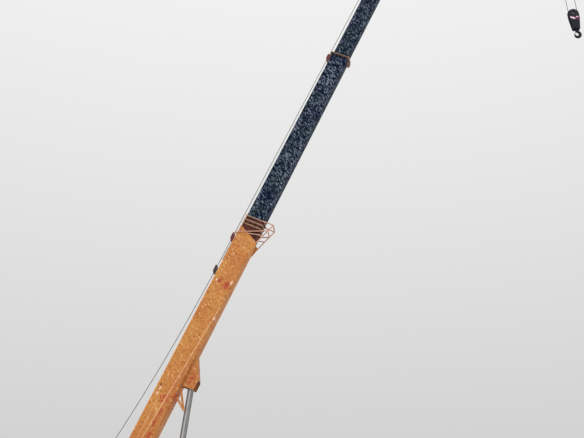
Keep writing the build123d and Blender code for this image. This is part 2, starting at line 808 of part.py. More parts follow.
def sheave(pitch, centre):
    """A grooved rim, a thin web with round openings and a hub, about an axis along Y."""
    half = SHEAVE_WIDTH / 2
    rim = pitch + SHEAVE_RIM
    seat = ROPE / 2 + ROPE_CLEARANCE
    hub = SHEAVE_HUB / 2
    web = SHEAVE_WEB / 2
    throat = pitch - SHEAVE_RIM
    profile = make_face(
        Polyline(
            (SHEAVE_BORE / 2, -half),
            (hub, -half),
            (hub, -web),
            (throat, -web),
            (throat, -half + web),
            (rim, -half + web / 2),
            (rim, -half + 1.5 * web),
            (pitch, -seat),
        )
        + ThreePointArc((pitch, -seat), (pitch - seat, 0), (pitch, seat))
        + Polyline(
            (pitch, seat),
            (rim, half - 1.5 * web),
            (rim, half - web / 2),
            (throat, half - web),
            (throat, web),
            (hub, web),
            (hub, half),
            (SHEAVE_BORE / 2, half),
            (SHEAVE_BORE / 2, -half),
        )
    )
    body = revolve(profile, Axis.Y)
    reach = (throat + hub) / 2
    for turn in range(SHEAVE_OPENINGS):
        angle = 2 * math.pi * turn / SHEAVE_OPENINGS
        body -= cross_bar(SHEAVE_OPENING / 2, reach * math.cos(angle), reach * math.sin(angle), -web, web)
    return Pos(centre[0], 0, centre[1]) * body


def head_rope():
    """The rope from the top of the top sheave, down the head and round the nose sheave until it hangs plumb."""
    top = top_sheave_centre()
    nose = nose_sheave_centre()
    reach = math.hypot(nose[0] - top[0], nose[1] - top[1])
    out_s, out_t = -(nose[1] - top[1]) / reach, (nose[0] - top[0]) / reach
    mid = math.hypot(out_s, 1 + out_t)
    pitch = SHEAVE_PITCH
    tilt = math.radians(LUFF)
    plumb = (math.cos(tilt), -math.sin(tilt))
    low = math.hypot(out_s + plumb[0], out_t + plumb[1])
    first = ThreePointArc(
        (top[0], top[1] + pitch),
        (top[0] + pitch * out_s / mid, top[1] + pitch * (1 + out_t) / mid),
        (top[0] + pitch * out_s, top[1] + pitch * out_t),
    )
    second = Line(
        (top[0] + pitch * out_s, top[1] + pitch * out_t),
        (nose[0] + pitch * out_s, nose[1] + pitch * out_t),
    )
    third = ThreePointArc(
        (nose[0] + pitch * out_s, nose[1] + pitch * out_t),
        (nose[0] + pitch * (out_s + plumb[0]) / low, nose[1] + pitch * (out_t + plumb[1]) / low),
        (nose[0] + pitch * plumb[0], nose[1] + pitch * plumb[1]),
    )
    path = Wire([(Plane.XZ * piece).edge() for piece in (first, second, third)])
    section = Plane(path @ 0, z_dir=path % 0) * Circle(ROPE / 2)
    return sweep(section, path=path)


def live_fall_x():
    nose_x, _ = to_world(*nose_sheave_centre())
    return nose_x + SHEAVE_PITCH


def block_x():
    return live_fall_x() - BLOCK_PITCH


def dead_fall_x():
    return block_x() - BLOCK_PITCH


def socket_bottom():
    """Top of the dead fall, at the mouth of the wedge socket."""
    return to_world(*socket_pin_centre())[1] - SOCKET_LENGTH


def wedge_socket():
    """The socket on the rope's dead end, with its clevis pin in the head's side plates."""
    pin_x, pin_z = to_world(*socket_pin_centre())
    inner = section_width(SECTIONS) / 2
    reach = inner + HEAD_PLATE
    body = cross_bar(SOCKET_PIN / 2, pin_x, pin_z, -reach, reach)
    body += cross_bar(SOCKET_EYE / 2, pin_x, pin_z, -inner / 3, inner / 3)
    low = socket_bottom()
    side = [
        (pin_x - SOCKET_PIN, pin_z),
        (pin_x + SOCKET_PIN, pin_z),
        (pin_x + SOCKET_WIDTH / 2, pin_z - SOCKET_SHOULDER),
        (dead_fall_x() + ROPE, low + ROPE),
        (dead_fall_x() + ROPE, low),
        (dead_fall_x() - ROPE, low),
        (dead_fall_x() - ROPE, low + ROPE),
        (pin_x - SOCKET_WIDTH / 2, pin_z - SOCKET_SHOULDER),
    ]
    body += plate(side, -SOCKET_THICKNESS / 2, SOCKET_THICKNESS / 2)
    return body


def fall(x, low, high):
    """A plumb stretch of hoist rope."""
    bottom = low + ROPE_END_GAP
    top = high - ROPE_END_GAP
    return Pos(x, 0, (bottom + top) / 2) * Cylinder(ROPE / 2, top - bottom)


def block_rope():
    """The rope's turn under the block sheave."""
    centre = (block_x(), BLOCK_SHEAVE_Z)
    turn = Plane.XZ * ThreePointArc(
        (centre[0] - BLOCK_PITCH, centre[1]),
        (centre[0], centre[1] - BLOCK_PITCH),
        (centre[0] + BLOCK_PITCH, centre[1]),
    )
    path = Wire([turn.edge()])
    section = Plane(path @ 0, z_dir=path % 0) * Circle(ROPE / 2)
    return sweep(section, path=path)


def block_outline(top_radius, foot_width, depth, shoulder):
    """A round top about the sheave's centre, straight shoulders and a taper to the foot."""
    x, z = block_x(), BLOCK_SHEAVE_Z
    foot = z - depth
    return make_face(
        ThreePointArc((x - top_radius, z), (x, z + top_radius), (x + top_radius, z))
        + Polyline(
            (x + top_radius, z),
            (x + top_radius, z - shoulder),
            (x + foot_width / 2, foot),
            (x - foot_width / 2, foot),
            (x - top_radius, z - shoulder),
            (x - top_radius, z),
        )
    )


def block_cheeks():
    """Two side plates joined by the spreader bars above and below the sheave, and bored for its pin."""
    inner = SHEAVE_WIDTH / 2 + BLOCK_GAP
    outer = inner + BLOCK_CHEEK
    outline = block_outline(BLOCK_TOP_RADIUS, BLOCK_FOOT_WIDTH, BLOCK_DEPTH, BLOCK_TOP_RADIUS)
    side = extrude(Plane.XZ * outline, amount=-BLOCK_CHEEK)
    body = Pos(0, inner, 0) * side + Pos(0, -outer, 0) * side
    x, z = block_x(), BLOCK_SHEAVE_Z
    body -= cross_bar(SHEAVE_BORE / 2, x, z, -outer, outer)
    body -= cross_bar(TRUNNION / 2 + FIT, *crosshead_centre(), -outer, outer)
    spreader_z = z - BLOCK_PITCH - SHEAVE_RIM - BLOCK_SPREADER_DROP
    for sign in (-1, 1):
        body += cross_bar(BLOCK_SPREADER / 2, x + sign * BLOCK_SPREADER_REACH, spreader_z, -inner, inner)
    return body


def block_weights():
    """Cheek weights bolted outside the side plates, one solid on each side."""
    low = SHEAVE_WIDTH / 2 + BLOCK_GAP + BLOCK_CHEEK
    outline = block_outline(BLOCK_TOP_RADIUS - ROPE, BLOCK_FOOT_WIDTH, BLOCK_DEPTH - ROPE, BLOCK_TOP_RADIUS)
    side = extrude(Plane.XZ * outline, amount=-BLOCK_WEIGHT)
    x, z = block_x(), BLOCK_SHEAVE_Z
    keep = low + BLOCK_WEIGHT
    hole = cross_bar(SHEAVE_BORE, x, z, -keep, keep)
    pair = [Pos(0, low, 0) * side - hole, Pos(0, -keep, 0) * side - hole]
    trimmed = []
    for piece in pair:
        edges = piece.edges().filter_by(GeomType.CIRCLE).group_by(SortBy.RADIUS)[-1]
        outer_y = max(edges, key=lambda edge: abs(edge.center().Y))
        trimmed.append(chamfer(outer_y, BLOCK_WEIGHT / 5))
    return Compound(children=trimmed)


def block_pin():
    """The block sheave's pin, ending in a head at each side plate."""
    reach = SHEAVE_WIDTH / 2 + BLOCK_GAP + BLOCK_CHEEK
    x, z = block_x(), BLOCK_SHEAVE_Z
    body = cross_bar(SHEAVE_BORE / 2 - FIT, x, z, -reach, reach)
    for sign in (-1, 1):
        low, high = sorted((sign * reach, sign * (reach + BLOCK_CHEEK)))
        body += cross_bar(PIN_SPACER / 2, x, z, low, high)
        low, high = sorted((sign * (SHEAVE_WIDTH / 2 + SPACER_GAP), sign * (SHEAVE_WIDTH / 2 + BLOCK_GAP)))
        body += cross_bar(PIN_SPACER / 2, x, z, low, high)
    return body


def crosshead_centre():
    return block_x(), BLOCK_SHEAVE_Z - BLOCK_DEPTH + CROSSHEAD


def crosshead():
    """The trunnion between the side plates, bored for the hook's shank."""
    inner = SHEAVE_WIDTH / 2 + BLOCK_GAP
    reach = inner + BLOCK_CHEEK
    x, z = crosshead_centre()
    body = Pos(x, 0, z) * Box(CROSSHEAD_LENGTH, 2 * (inner - SPACER_GAP), CROSSHEAD)
    body += cross_bar(TRUNNION / 2, x, z, -reach, reach)
    body -= Pos(x, 0, z) * Cylinder(SHANK_THREAD / 2 + ROPE_CLEARANCE, 2 * CROSSHEAD)
    return body


def hook_centre():
    return block_x(), BLOCK_SHEAVE_Z - HOOK_CENTRE_DROP


def hook():
    """A forged single hook: shank with its nut, neck, an oval bowl that swells below, and a thinner tip."""
    x, cross_z = crosshead_centre()
    _, bowl_z = hook_centre()
    nut_low = cross_z + CROSSHEAD / 2 + ROPE_CLEARANCE
    nut_radius = SHEAVE_WIDTH / 2 + BLOCK_GAP / 2
    nut = Pos(x, 0, nut_low + SHANK / 4) * Cylinder(nut_radius, SHANK / 2)
    collar_top = BLOCK_SHEAVE_Z - BLOCK_DEPTH - HOOK_GAP
    shank_length = nut_low - collar_top + SHANK / 2
    shank = Pos(x, 0, (nut_low + collar_top) / 2) * Cylinder(SHANK_THREAD / 2, shank_length)
    neck_low = bowl_z + HOOK_HALF_HEIGHT
    half = HOOK_SECTION / 2
    neck = Pos(x, 0, (neck_low + collar_top) / 2) * Cone(half, SHANK / 2, collar_top - neck_low)
    sections = []
    for step in range(HOOK_STEPS + 1):
        angle = math.radians(90 - HOOK_TURN * step / HOOK_STEPS)
        out, up = HOOK_HALF_WIDTH * math.cos(angle), HOOK_HALF_HEIGHT * math.sin(angle)
        along = (HOOK_HALF_WIDTH * math.sin(angle), 0, -HOOK_HALF_HEIGHT * math.cos(angle))
        place = Plane((x + out, 0, bowl_z + up), x_dir=(0, 1, 0), z_dir=along)
        sections.append(place * Circle(hook_radius(step / HOOK_STEPS)))
    bowl = loft(sections) + Pos(x, 0, neck_low) * Sphere(half)
    pivot = latch_pivot()
    lug = flat_bar(pivot, (x, pivot[1]), 2 * LATCH_PIN, -LATCH_LUG / 2, LATCH_LUG / 2)
    lug += cross_bar(LATCH_PIN, *pivot, -LATCH_LUG / 2, LATCH_LUG / 2)
    lug += cross_bar(LATCH_PIN / 2, *pivot, -LATCH_WIDTH / 2, LATCH_WIDTH / 2)
    return shank + nut + neck + bowl + lug


def hook_radius(share):
    """Radius of the hook's section, from the neck at 0 to the tip at 1."""
    return HOOK_SECTION / 2 * (1 + HOOK_SWELL * math.sin(math.pi * share) - HOOK_TAPER * share**3)


def latch_pivot():
    x, z = hook_centre()
    return x - HOOK_SECTION / 2 - LATCH_PIN - LATCH_STANDOFF, z + HOOK_HALF_HEIGHT + LATCH_PIN


def latch():
    """The spring latch, from its pin on the neck to the inside of the hook's tip."""
    x, z = hook_centre()
    tip = math.radians(90 - HOOK_TURN)
    inside = hook_radius(1) + LATCH_THICKNESS / 2 + 2 * ROPE_CLEARANCE
    end = (x + HOOK_HALF_WIDTH * math.cos(tip) + inside, z + HOOK_HALF_HEIGHT * math.sin(tip))
    pivot = latch_pivot()
    half = LATCH_WIDTH / 2
    body = flat_bar(pivot, end, LATCH_THICKNESS, -half, half)
    body += cross_bar(LATCH_PIN, *pivot, -half, half)
    room = LATCH_LUG / 2 + LATCH_SIDE_GAP
    body -= cross_bar(LATCH_PIN + LATCH_ROUND_GAP, *pivot, -room, room)
    return body - cross_bar(LATCH_PIN / 2 + FIT, *pivot, -half, half)


os.makedirs("parts", exist_ok=True)
nodes = {
    "base_boom": raised(base_boom()),
    "base_guard_frame": raised(guard_frame()),
    "base_head_shroud": raised(head_shroud()),
    "base_head_pads": raised(head_pads(1)),
    "lift_bracket": raised(lift_bracket()),
    "lift_pin": raised(lift_pin()),
    "underside_stay": raised(stay()),
    "winch_frame": raised(winch_frame()),
    "winch_drum": raised(winch_drum()),
    "winch_coil": raised(winch_coil()),
    "hoist_rope_1": raised(base_rope()),
    "lift_rod": raised(on_lift_line(lift_rod())),
    "lift_barrel": raised(on_lift_line(lift_barrel())),
    "lift_gland": raised(on_lift_line(lift_gland())),
}
for low_high, place in (("low", low_guide()), ("high", high_guide())):
    nodes[f"base_guide_{low_high}"] = raised(base_guide(place))
    nodes[f"base_roller_{low_high}"] = raised(guide_roller(1, place))
rope_from = (high_guide(), rope_height(1))
for number in range(2, SECTIONS + 1):
    nodes[f"section_{number}"] = raised(section_tube(number, section_tail(number), section_head(number)))
    nodes[f"tail_pads_{number}"] = raised(tail_pads(number))
    if number < SECTIONS:
        nodes[f"collar_{number}"] = raised(collar(number))
        nodes[f"head_pads_{number}"] = raised(head_pads(number))
        nodes[f"guide_{number}"] = raised(collar_guide(number))
        nodes[f"roller_{number}"] = raised(guide_roller(number, guide_place(number)))
        rope_to = (guide_place(number), rope_height(number))
    else:
        rope_to = (top_sheave_centre()[0], rope_height(number))
    nodes[f"hoist_rope_{number}"] = raised(rope_run(rope_from, rope_to))
    rope_from = rope_to
nodes["head_frame"] = raised(head_frame())
nodes["top_sheave_pin"] = raised(sheave_pin(top_sheave_centre()))
nodes["nose_sheave_pin"] = raised(sheave_pin(nose_sheave_centre()))
nodes["top_sheave"] = raised(sheave(SHEAVE_PITCH, top_sheave_centre()))
nodes["nose_sheave"] = raised(sheave(SHEAVE_PITCH, nose_sheave_centre()))
nodes["head_rope"] = raised(head_rope())
nodes["wedge_socket"] = wedge_socket()
nodes["live_fall"] = fall(live_fall_x(), BLOCK_SHEAVE_Z, to_world(*nose_sheave_centre())[1])
nodes["dead_fall"] = fall(dead_fall_x(), BLOCK_SHEAVE_Z, socket_bottom())
nodes["block_rope"] = block_rope()
nodes["block_cheeks"] = block_cheeks()
nodes["block_weights"] = block_weights()
nodes["block_pin"] = block_pin()
nodes["block_sheave"] = sheave(BLOCK_PITCH, (block_x(), BLOCK_SHEAVE_Z))
nodes["crosshead"] = crosshead()
nodes["hook"] = hook()
nodes["latch"] = latch()
for name, shape in nodes.items():
    export_step(shape, f"parts/{name}.step")
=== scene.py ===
"""Telescopic crane boom: paint, rust, frost, ropes, welds and bolts, with its camera and studio."""
import json
import math

import bmesh
import bpy
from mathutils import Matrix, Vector


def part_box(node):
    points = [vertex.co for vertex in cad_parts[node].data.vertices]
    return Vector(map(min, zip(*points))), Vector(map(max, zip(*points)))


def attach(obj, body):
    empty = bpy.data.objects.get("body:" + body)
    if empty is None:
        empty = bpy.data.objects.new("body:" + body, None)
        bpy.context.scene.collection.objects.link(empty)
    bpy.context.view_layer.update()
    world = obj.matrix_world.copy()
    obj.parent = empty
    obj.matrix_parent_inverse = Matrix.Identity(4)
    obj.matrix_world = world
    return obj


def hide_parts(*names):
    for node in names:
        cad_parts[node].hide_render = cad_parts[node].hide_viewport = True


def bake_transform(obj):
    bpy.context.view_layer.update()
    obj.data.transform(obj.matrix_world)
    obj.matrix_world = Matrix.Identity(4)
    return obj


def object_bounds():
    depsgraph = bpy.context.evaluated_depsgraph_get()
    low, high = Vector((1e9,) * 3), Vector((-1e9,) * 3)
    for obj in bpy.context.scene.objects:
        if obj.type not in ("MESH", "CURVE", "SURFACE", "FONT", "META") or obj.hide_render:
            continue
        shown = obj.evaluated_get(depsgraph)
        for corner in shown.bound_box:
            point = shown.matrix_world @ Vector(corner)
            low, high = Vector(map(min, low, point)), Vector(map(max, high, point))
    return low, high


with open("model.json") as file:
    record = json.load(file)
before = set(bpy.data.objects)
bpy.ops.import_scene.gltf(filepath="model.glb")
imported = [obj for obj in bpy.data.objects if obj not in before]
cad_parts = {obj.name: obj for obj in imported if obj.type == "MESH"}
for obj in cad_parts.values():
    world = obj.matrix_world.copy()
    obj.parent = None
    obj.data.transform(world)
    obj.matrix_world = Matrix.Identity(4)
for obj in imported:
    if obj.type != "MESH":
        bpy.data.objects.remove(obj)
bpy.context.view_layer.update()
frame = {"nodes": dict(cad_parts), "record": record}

# The boom's own frame: along the boom, and square to its top plate, as raised in the photograph
LUFF = math.radians(65.5)
ALONG = Vector((math.cos(LUFF), 0, math.sin(LUFF)))
SQUARE = Vector((-math.sin(LUFF), 0, math.cos(LUFF)))
ACROSS = Vector((0, 1, 0))
BASE_HALF_HEIGHT = 0.360
BASE_HALF_WIDTH = 0.260
HEIGHT_STEP = 0.055
ROPE_RADIUS = 0.011
ROPE_RISE = 0.140
ROPE_LAY = 0.11
STRANDS = 6
ROPE_SIDES = 12
BASE_FRONT = 10.530
SHROUD_FRONT = BASE_FRONT + 0.430
RIB_PITCH = 0.150
RIB = 0.036
GUIDE_LOW = BASE_FRONT - 1.780
GUIDE_HIGH = BASE_FRONT - 0.450
SECOND_HEAD = BASE_FRONT + 8.070
EXPOSED = 7.0
GUIDE_SETBACK = 0.160
DOUBLER_TAIL = (-0.350, 0.195)
DOUBLER_END = (7.550, -0.336)
HEAD_DOUBLER_TOP = (10.080, 0.336)
HEAD_DOUBLER_FOOT = (9.711, -0.360)
BRACKET_SOLE_REAR = (4.760, -0.800)
BRACKET_SOLE_FRONT = (5.120, -0.799)
LIFT_PIN = (5.150, -0.530)
LIFT_FOOT = (0.307, -2.121)
BARREL = 0.135
BARREL_LENGTH = 2.915
WINCH_ALONG = 0.450
WINCH_SQUARE = 0.800
WINCH_COIL = 0.235
SHEAVE_PITCH = 0.190
BLOCK_PITCH = 0.175
HEAD_ALONG = SECOND_HEAD + 3 * EXPOSED
TOP_SHEAVE = (HEAD_ALONG + 0.400, BASE_HALF_HEIGHT - 2 * HEIGHT_STEP + ROPE_RISE - SHEAVE_PITCH)
NOSE_SHEAVE = (HEAD_ALONG + 0.610, -0.320)

# Camera, from the fit of the boom's edges in the photograph, and the floor
CAMERA_PLACE = Vector((6.973, -22.889, -0.709))
CAMERA_PITCH = math.radians(25.10)
CAMERA_YAW = math.radians(-2.91)
FOCAL_PIXELS = 717.8
PICTURE_WIDTH = 584
SENSOR = 36.0
FLOOR_DROP = 0.30
FLOOR_REACH = 400

# Colours, linear
ORANGE = (0.540, 0.232, 0.052)
ORANGE_DEEP = (0.480, 0.172, 0.038)
# Rust, also used as the painted shade below the doubler line
ORANGE_RUST_AND_SHADE = (0.320, 0.080, 0.024)
ORANGE_PALE = (0.760, 0.440, 0.190)
BLOTCH = (0.400, 0.050, 0.024)
# Dark stains, also used as the painted shadow along the bracket's sole
DARK_STAIN_AND_SHADOW = (0.100, 0.014, 0.012)
PINK_PALE = (0.820, 0.560, 0.440)
LINE_PALE = (0.840, 0.520, 0.300)
NAVY = (0.0022, 0.0062, 0.0240)
TEAL = (0.0028, 0.0110, 0.0170)
FROST = (0.260, 0.310, 0.390)
SNOW = (0.720, 0.730, 0.740)
DIRT = (0.045, 0.035, 0.028)
STEEL = (0.270, 0.262, 0.256)
# Painted shade on the collars behind their rims
COLLAR_SHADE = (0.046, 0.026, 0.022)
COLLAR_BROWN = (0.130, 0.082, 0.062)
COLLAR_WORN = (0.400, 0.270, 0.210)
SHROUD_DARK = (0.032, 0.013, 0.010)
SHROUD_RED = (0.160, 0.040, 0.032)
RIB_OLIVE = (0.340, 0.260, 0.145)
RIB_PINK = (0.450, 0.250, 0.180)
# A painted highlight and painted shade on the rod
ROD_HIGHLIGHT = (0.420, 0.410, 0.400)
ROD_EDGE_SHADE = (0.075, 0.070, 0.070)
STRAND = (0.160, 0.160, 0.165)
STRAND_GREASY = (0.070, 0.068, 0.066)
STRAND_GAP = (0.020, 0.020, 0.020)
BLOCK_BLACK = (0.0050, 0.0065, 0.0130)
BLOCK_CHIPPED = (0.060, 0.060, 0.070)
BLOCK_FLECK = (0.300, 0.300, 0.320)
BLOCK_PLUM = (0.110, 0.020, 0.055)
BLOCK_PINK = (0.800, 0.560, 0.680)
GUARD_PAINT = (0.520, 0.260, 0.180)
GUARD_WORN = (0.660, 0.440, 0.350)
GUIDE_PAINT = (0.150, 0.030, 0.030)
GUIDE_WORN = (0.360, 0.180, 0.160)
NYLON = (0.550, 0.520, 0.440)
NYLON_WORN = (0.350, 0.320, 0.260)
PIN_STEEL = (0.200, 0.190, 0.180)
WINCH_PAINT = (0.055, 0.045, 0.040)
WINCH_WORN = (0.130, 0.110, 0.090)
DRUM_STEEL = (0.120, 0.110, 0.100)
SHEAVE_IRON = (0.100, 0.075, 0.060)
SHEAVE_WORN = (0.200, 0.170, 0.150)
HOOK_IRON = (0.008, 0.009, 0.013)
HOOK_WORN = (0.045, 0.042, 0.044)
SKY_LOW = 0.640
SKY_HIGH = 0.880
FLOOR_GREY = 0.800

# Wear on the boom's sides: its place along and square to the boom, its length, width and strength
RED_BLOTCHES = (
    (4.16, -0.06, 0.30, 0.24, 0.72),
    (4.36, -0.34, 0.20, 0.08, 0.80),
    (3.77, -0.16, 0.20, 0.07, 0.90),
    (3.42, -0.15, 0.24, 0.07, 0.90),
    (2.98, -0.18, 0.22, 0.07, 0.90),
    (8.38, 0.11, 0.13, 0.10, 1.00),
    (8.32, -0.19, 0.19, 0.15, 1.00),
    (8.10, 0.02, 0.30, 0.22, 0.45),
    (5.10, 0.06, 0.30, 0.22, 0.36),
    (5.05, -0.55, 0.26, 0.10, 0.75),
    (9.60, 0.00, 1.00, 0.60, 0.26),
)
DARK_STAINS = (
    (4.53, 0.24, 0.07, 0.035, 1.0),
    (4.41, 0.28, 0.07, 0.030, 1.0),
    (8.40, 0.12, 0.08, 0.060, 0.7),
    (8.30, -0.36, 0.14, 0.035, 0.8),
    (8.34, -0.20, 0.10, 0.070, 0.6),
)
CHALKY_SPOTS = (
    (4.23, 0.215, 0.09, 0.045, 1.0),
    (4.41, 0.205, 0.10, 0.035, 1.0),
    (8.38, 0.215, 0.07, 0.050, 1.0),
    (8.47, -0.30, 0.12, 0.060, 1.0),
    (7.12, -0.335, 0.10, 0.040, 0.9),
)
# Pale lines on the boom's sides: where each starts and ends, its half width and strength
PALE_LINES = (
    # The doubler's edge line is partly the weld bead's pale paint and partly a painted highlight on that edge
    (DOUBLER_TAIL, DOUBLER_END, 0.012, 1.0),
    ((9.20, -0.18), (9.46, 0.13), 0.009, 0.6),
    (HEAD_DOUBLER_FOOT, HEAD_DOUBLER_TOP, 0.010, 0.7),
    ((0.00, 0.345), (10.40, 0.345), 0.008, 0.6),
    ((1.00, 0.13), (4.10, 0.12), 0.010, 0.5),
)
# Four layers of frost strokes: drops per metre, stretch, reach, tilt, seed and strength
FROST_LAYERS = (
    (12.0, 2.8, 0.36, -0.68, 0.0, 1.00),
    (15.0, 2.6, 0.36, -1.00, 7.0, 0.75),
    (13.0, 2.2, 0.34, -0.35, 13.0, 0.55),
    (22.0, 2.5, 0.38, -0.80, 23.0, 0.45),
)


def boom_point(along, square, across=0.0):
    """A place measured on the boom, in the frame's own axes."""
    return ALONG * along + SQUARE * square + ACROSS * across


class Nodes:
    """A short way to write one material's node tree."""

    def __init__(self, name, boom_axes=True):
        self.material = bpy.data.materials.new(name)
        self.material.use_nodes = True
        self.tree = self.material.node_tree
        self.shader = self.tree.nodes["Principled BSDF"]
        place = self.add("ShaderNodeTexCoord")
        self.place = place.outputs["Object"]
        if boom_axes:
            self.place = self.mapped(self.place, rotation=(0, LUFF, 0))

    def add(self, kind, **settings):
        """A node of a kind, with its settings."""
        node = self.tree.nodes.new(kind)
        for key, value in settings.items():
            setattr(node, key, value)
        return node

    def put(self, socket, value):
        """Links or sets a socket, whichever the value needs."""
        if isinstance(value, bpy.types.NodeSocket):
            self.tree.links.new(value, socket)
        elif isinstance(value, (tuple, list)) and len(value) == 3 and socket.type == "RGBA":
            socket.default_value = (*value, 1)
        else:
            socket.default_value = value

    def mapped(self, vector, location=(0, 0, 0), rotation=(0, 0, 0), scale=(1, 1, 1)):
        node = self.add("ShaderNodeMapping")
        self.put(node.inputs["Vector"], vector)
        node.inputs["Location"].default_value = location
        node.inputs["Rotation"].default_value = rotation
        node.inputs["Scale"].default_value = scale
        return node.outputs["Vector"]

    def noise(self, scale, detail=4.0, roughness=0.6, vector=None):
        node = self.add("ShaderNodeTexNoise")
        self.put(node.inputs["Vector"], vector or self.place)
        node.inputs["Scale"].default_value = scale
        node.inputs["Detail"].default_value = detail
        node.inputs["Roughness"].default_value = roughness
        return node.outputs["Fac"]

    def math(self, operation, first, second=0.0, third=0.0):
        node = self.add("ShaderNodeMath", operation=operation)
        self.put(node.inputs[0], first)
        self.put(node.inputs[1], second)
        if operation == "MULTIPLY_ADD":
            self.put(node.inputs[2], third)
        return node.outputs[0]

    def times(self, first, second):
        return self.math("MULTIPLY", first, second)

    def greatest(self, first, *others):
        for other in others:
            first = self.math("MAXIMUM", first, other)
        return first

    def rest_of(self, share):
        """What a share leaves of 1."""
        return self.math("SUBTRACT", 1.0, share)

    def step(self, value, low, high, top=1.0):
        """0 below low, top above high, smooth between."""
        node = self.add("ShaderNodeMapRange", interpolation_type="SMOOTHSTEP")
        self.put(node.inputs["Value"], value)
        self.put(node.inputs["From Min"], low)
        self.put(node.inputs["From Max"], high)
        self.put(node.inputs["To Max"], top)
        return node.outputs["Result"]

    def mix(self, share, first, second):
        node = self.add("ShaderNodeMix", data_type="RGBA")
        self.put(node.inputs["Factor"], share)
        colours = [socket for socket in node.inputs if socket.type == "RGBA"]
        self.put(colours[0], first)
        self.put(colours[1], second)
        return [socket for socket in node.outputs if socket.type == "RGBA"][0]

    def axes(self, vector=None):
        node = self.add("ShaderNodeSeparateXYZ")
        self.put(node.inputs[0], vector or self.place)
        return node.outputs

    def upward(self):
        """How far a face looks up, from -1 to 1."""
        node = self.add("ShaderNodeNewGeometry")
        split = self.add("ShaderNodeSeparateXYZ")
        self.put(split.inputs[0], node.outputs["Normal"])
        return split.outputs["Z"]

    def blot(self, along, square, length, width):
        """1 at a place on the boom's side, fading out over a length and a width."""
        axes = self.axes()
        first = self.math("DIVIDE", self.math("SUBTRACT", axes["X"], along), length)
        second = self.math("DIVIDE", self.math("SUBTRACT", axes["Z"], square), width)
        reach = self.math("ADD", self.times(first, first), self.times(second, second))
        return self.rest_of(self.step(reach, 0.0, 1.0))

    def blots(self, places):
        """The strongest of several blots, each with its own strength last."""
        found = [self.times(self.blot(*place), strength) for *place, strength in places]
        return self.greatest(*found)

    def beside(self, start, end):
        """Signed distance from a line on the boom's side, above it where positive."""
        axes = self.axes()
        slope = (end[1] - start[1]) / (end[0] - start[0])
        on_line = self.math("MULTIPLY_ADD", axes["X"], slope, start[1] - slope * start[0])
        return self.times(self.math("SUBTRACT", axes["Z"], on_line), 1 / math.hypot(1, slope))

    def stripe(self, start, end, half):
        """1 on a line drawn between two places on the boom's side, 0 a little beyond its half width."""
        away = self.math("ABSOLUTE", self.beside(start, end))
        near = self.rest_of(self.step(away, half, 2 * half))
        along = self.axes()["X"]
        first, last = sorted((start[0], end[0]))
        inside = self.times(self.step(along, first - half, first), self.step(along, last + half, last))
        return self.times(near, inside)

    def strokes(self, size, stretch, reach, tilt, seed=0.0):
        """Short slanted strokes, 1 on a stroke and 0 off it: stretched, ragged drops scattered at random."""
        turned = self.mapped(self.place, location=(seed, seed, seed), rotation=(0, tilt, 0))
        drawn = self.mapped(turned, scale=(1, 1, 1 / stretch))
        cells = self.add("ShaderNodeTexVoronoi")
        self.put(cells.inputs["Vector"], drawn)
        cells.inputs["Scale"].default_value = size
        grit = self.noise(size * 5, 3.0, 0.7, drawn)
        raggedness = 0.6
        ragged = self.math("MULTIPLY_ADD", grit, raggedness, cells.outputs["Distance"])
        return self.step(ragged, reach + raggedness / 2, reach * 0.6 + raggedness / 2)

    def bump(self, height, strength, distance):
        node = self.add("ShaderNodeBump")
        self.put(node.inputs["Height"], height)
        node.inputs["Strength"].default_value = strength
        node.inputs["Distance"].default_value = distance
        self.put(self.shader.inputs["Normal"], node.outputs["Normal"])

    def finish(self, colour, roughness, metallic=0.0, specular=0.5):
        self.put(self.shader.inputs["Base Color"], colour)
        self.put(self.shader.inputs["Roughness"], roughness)
        self.shader.inputs["Metallic"].default_value = metallic
        self.shader.inputs["Specular IOR Level"].default_value = specular
        return self.material


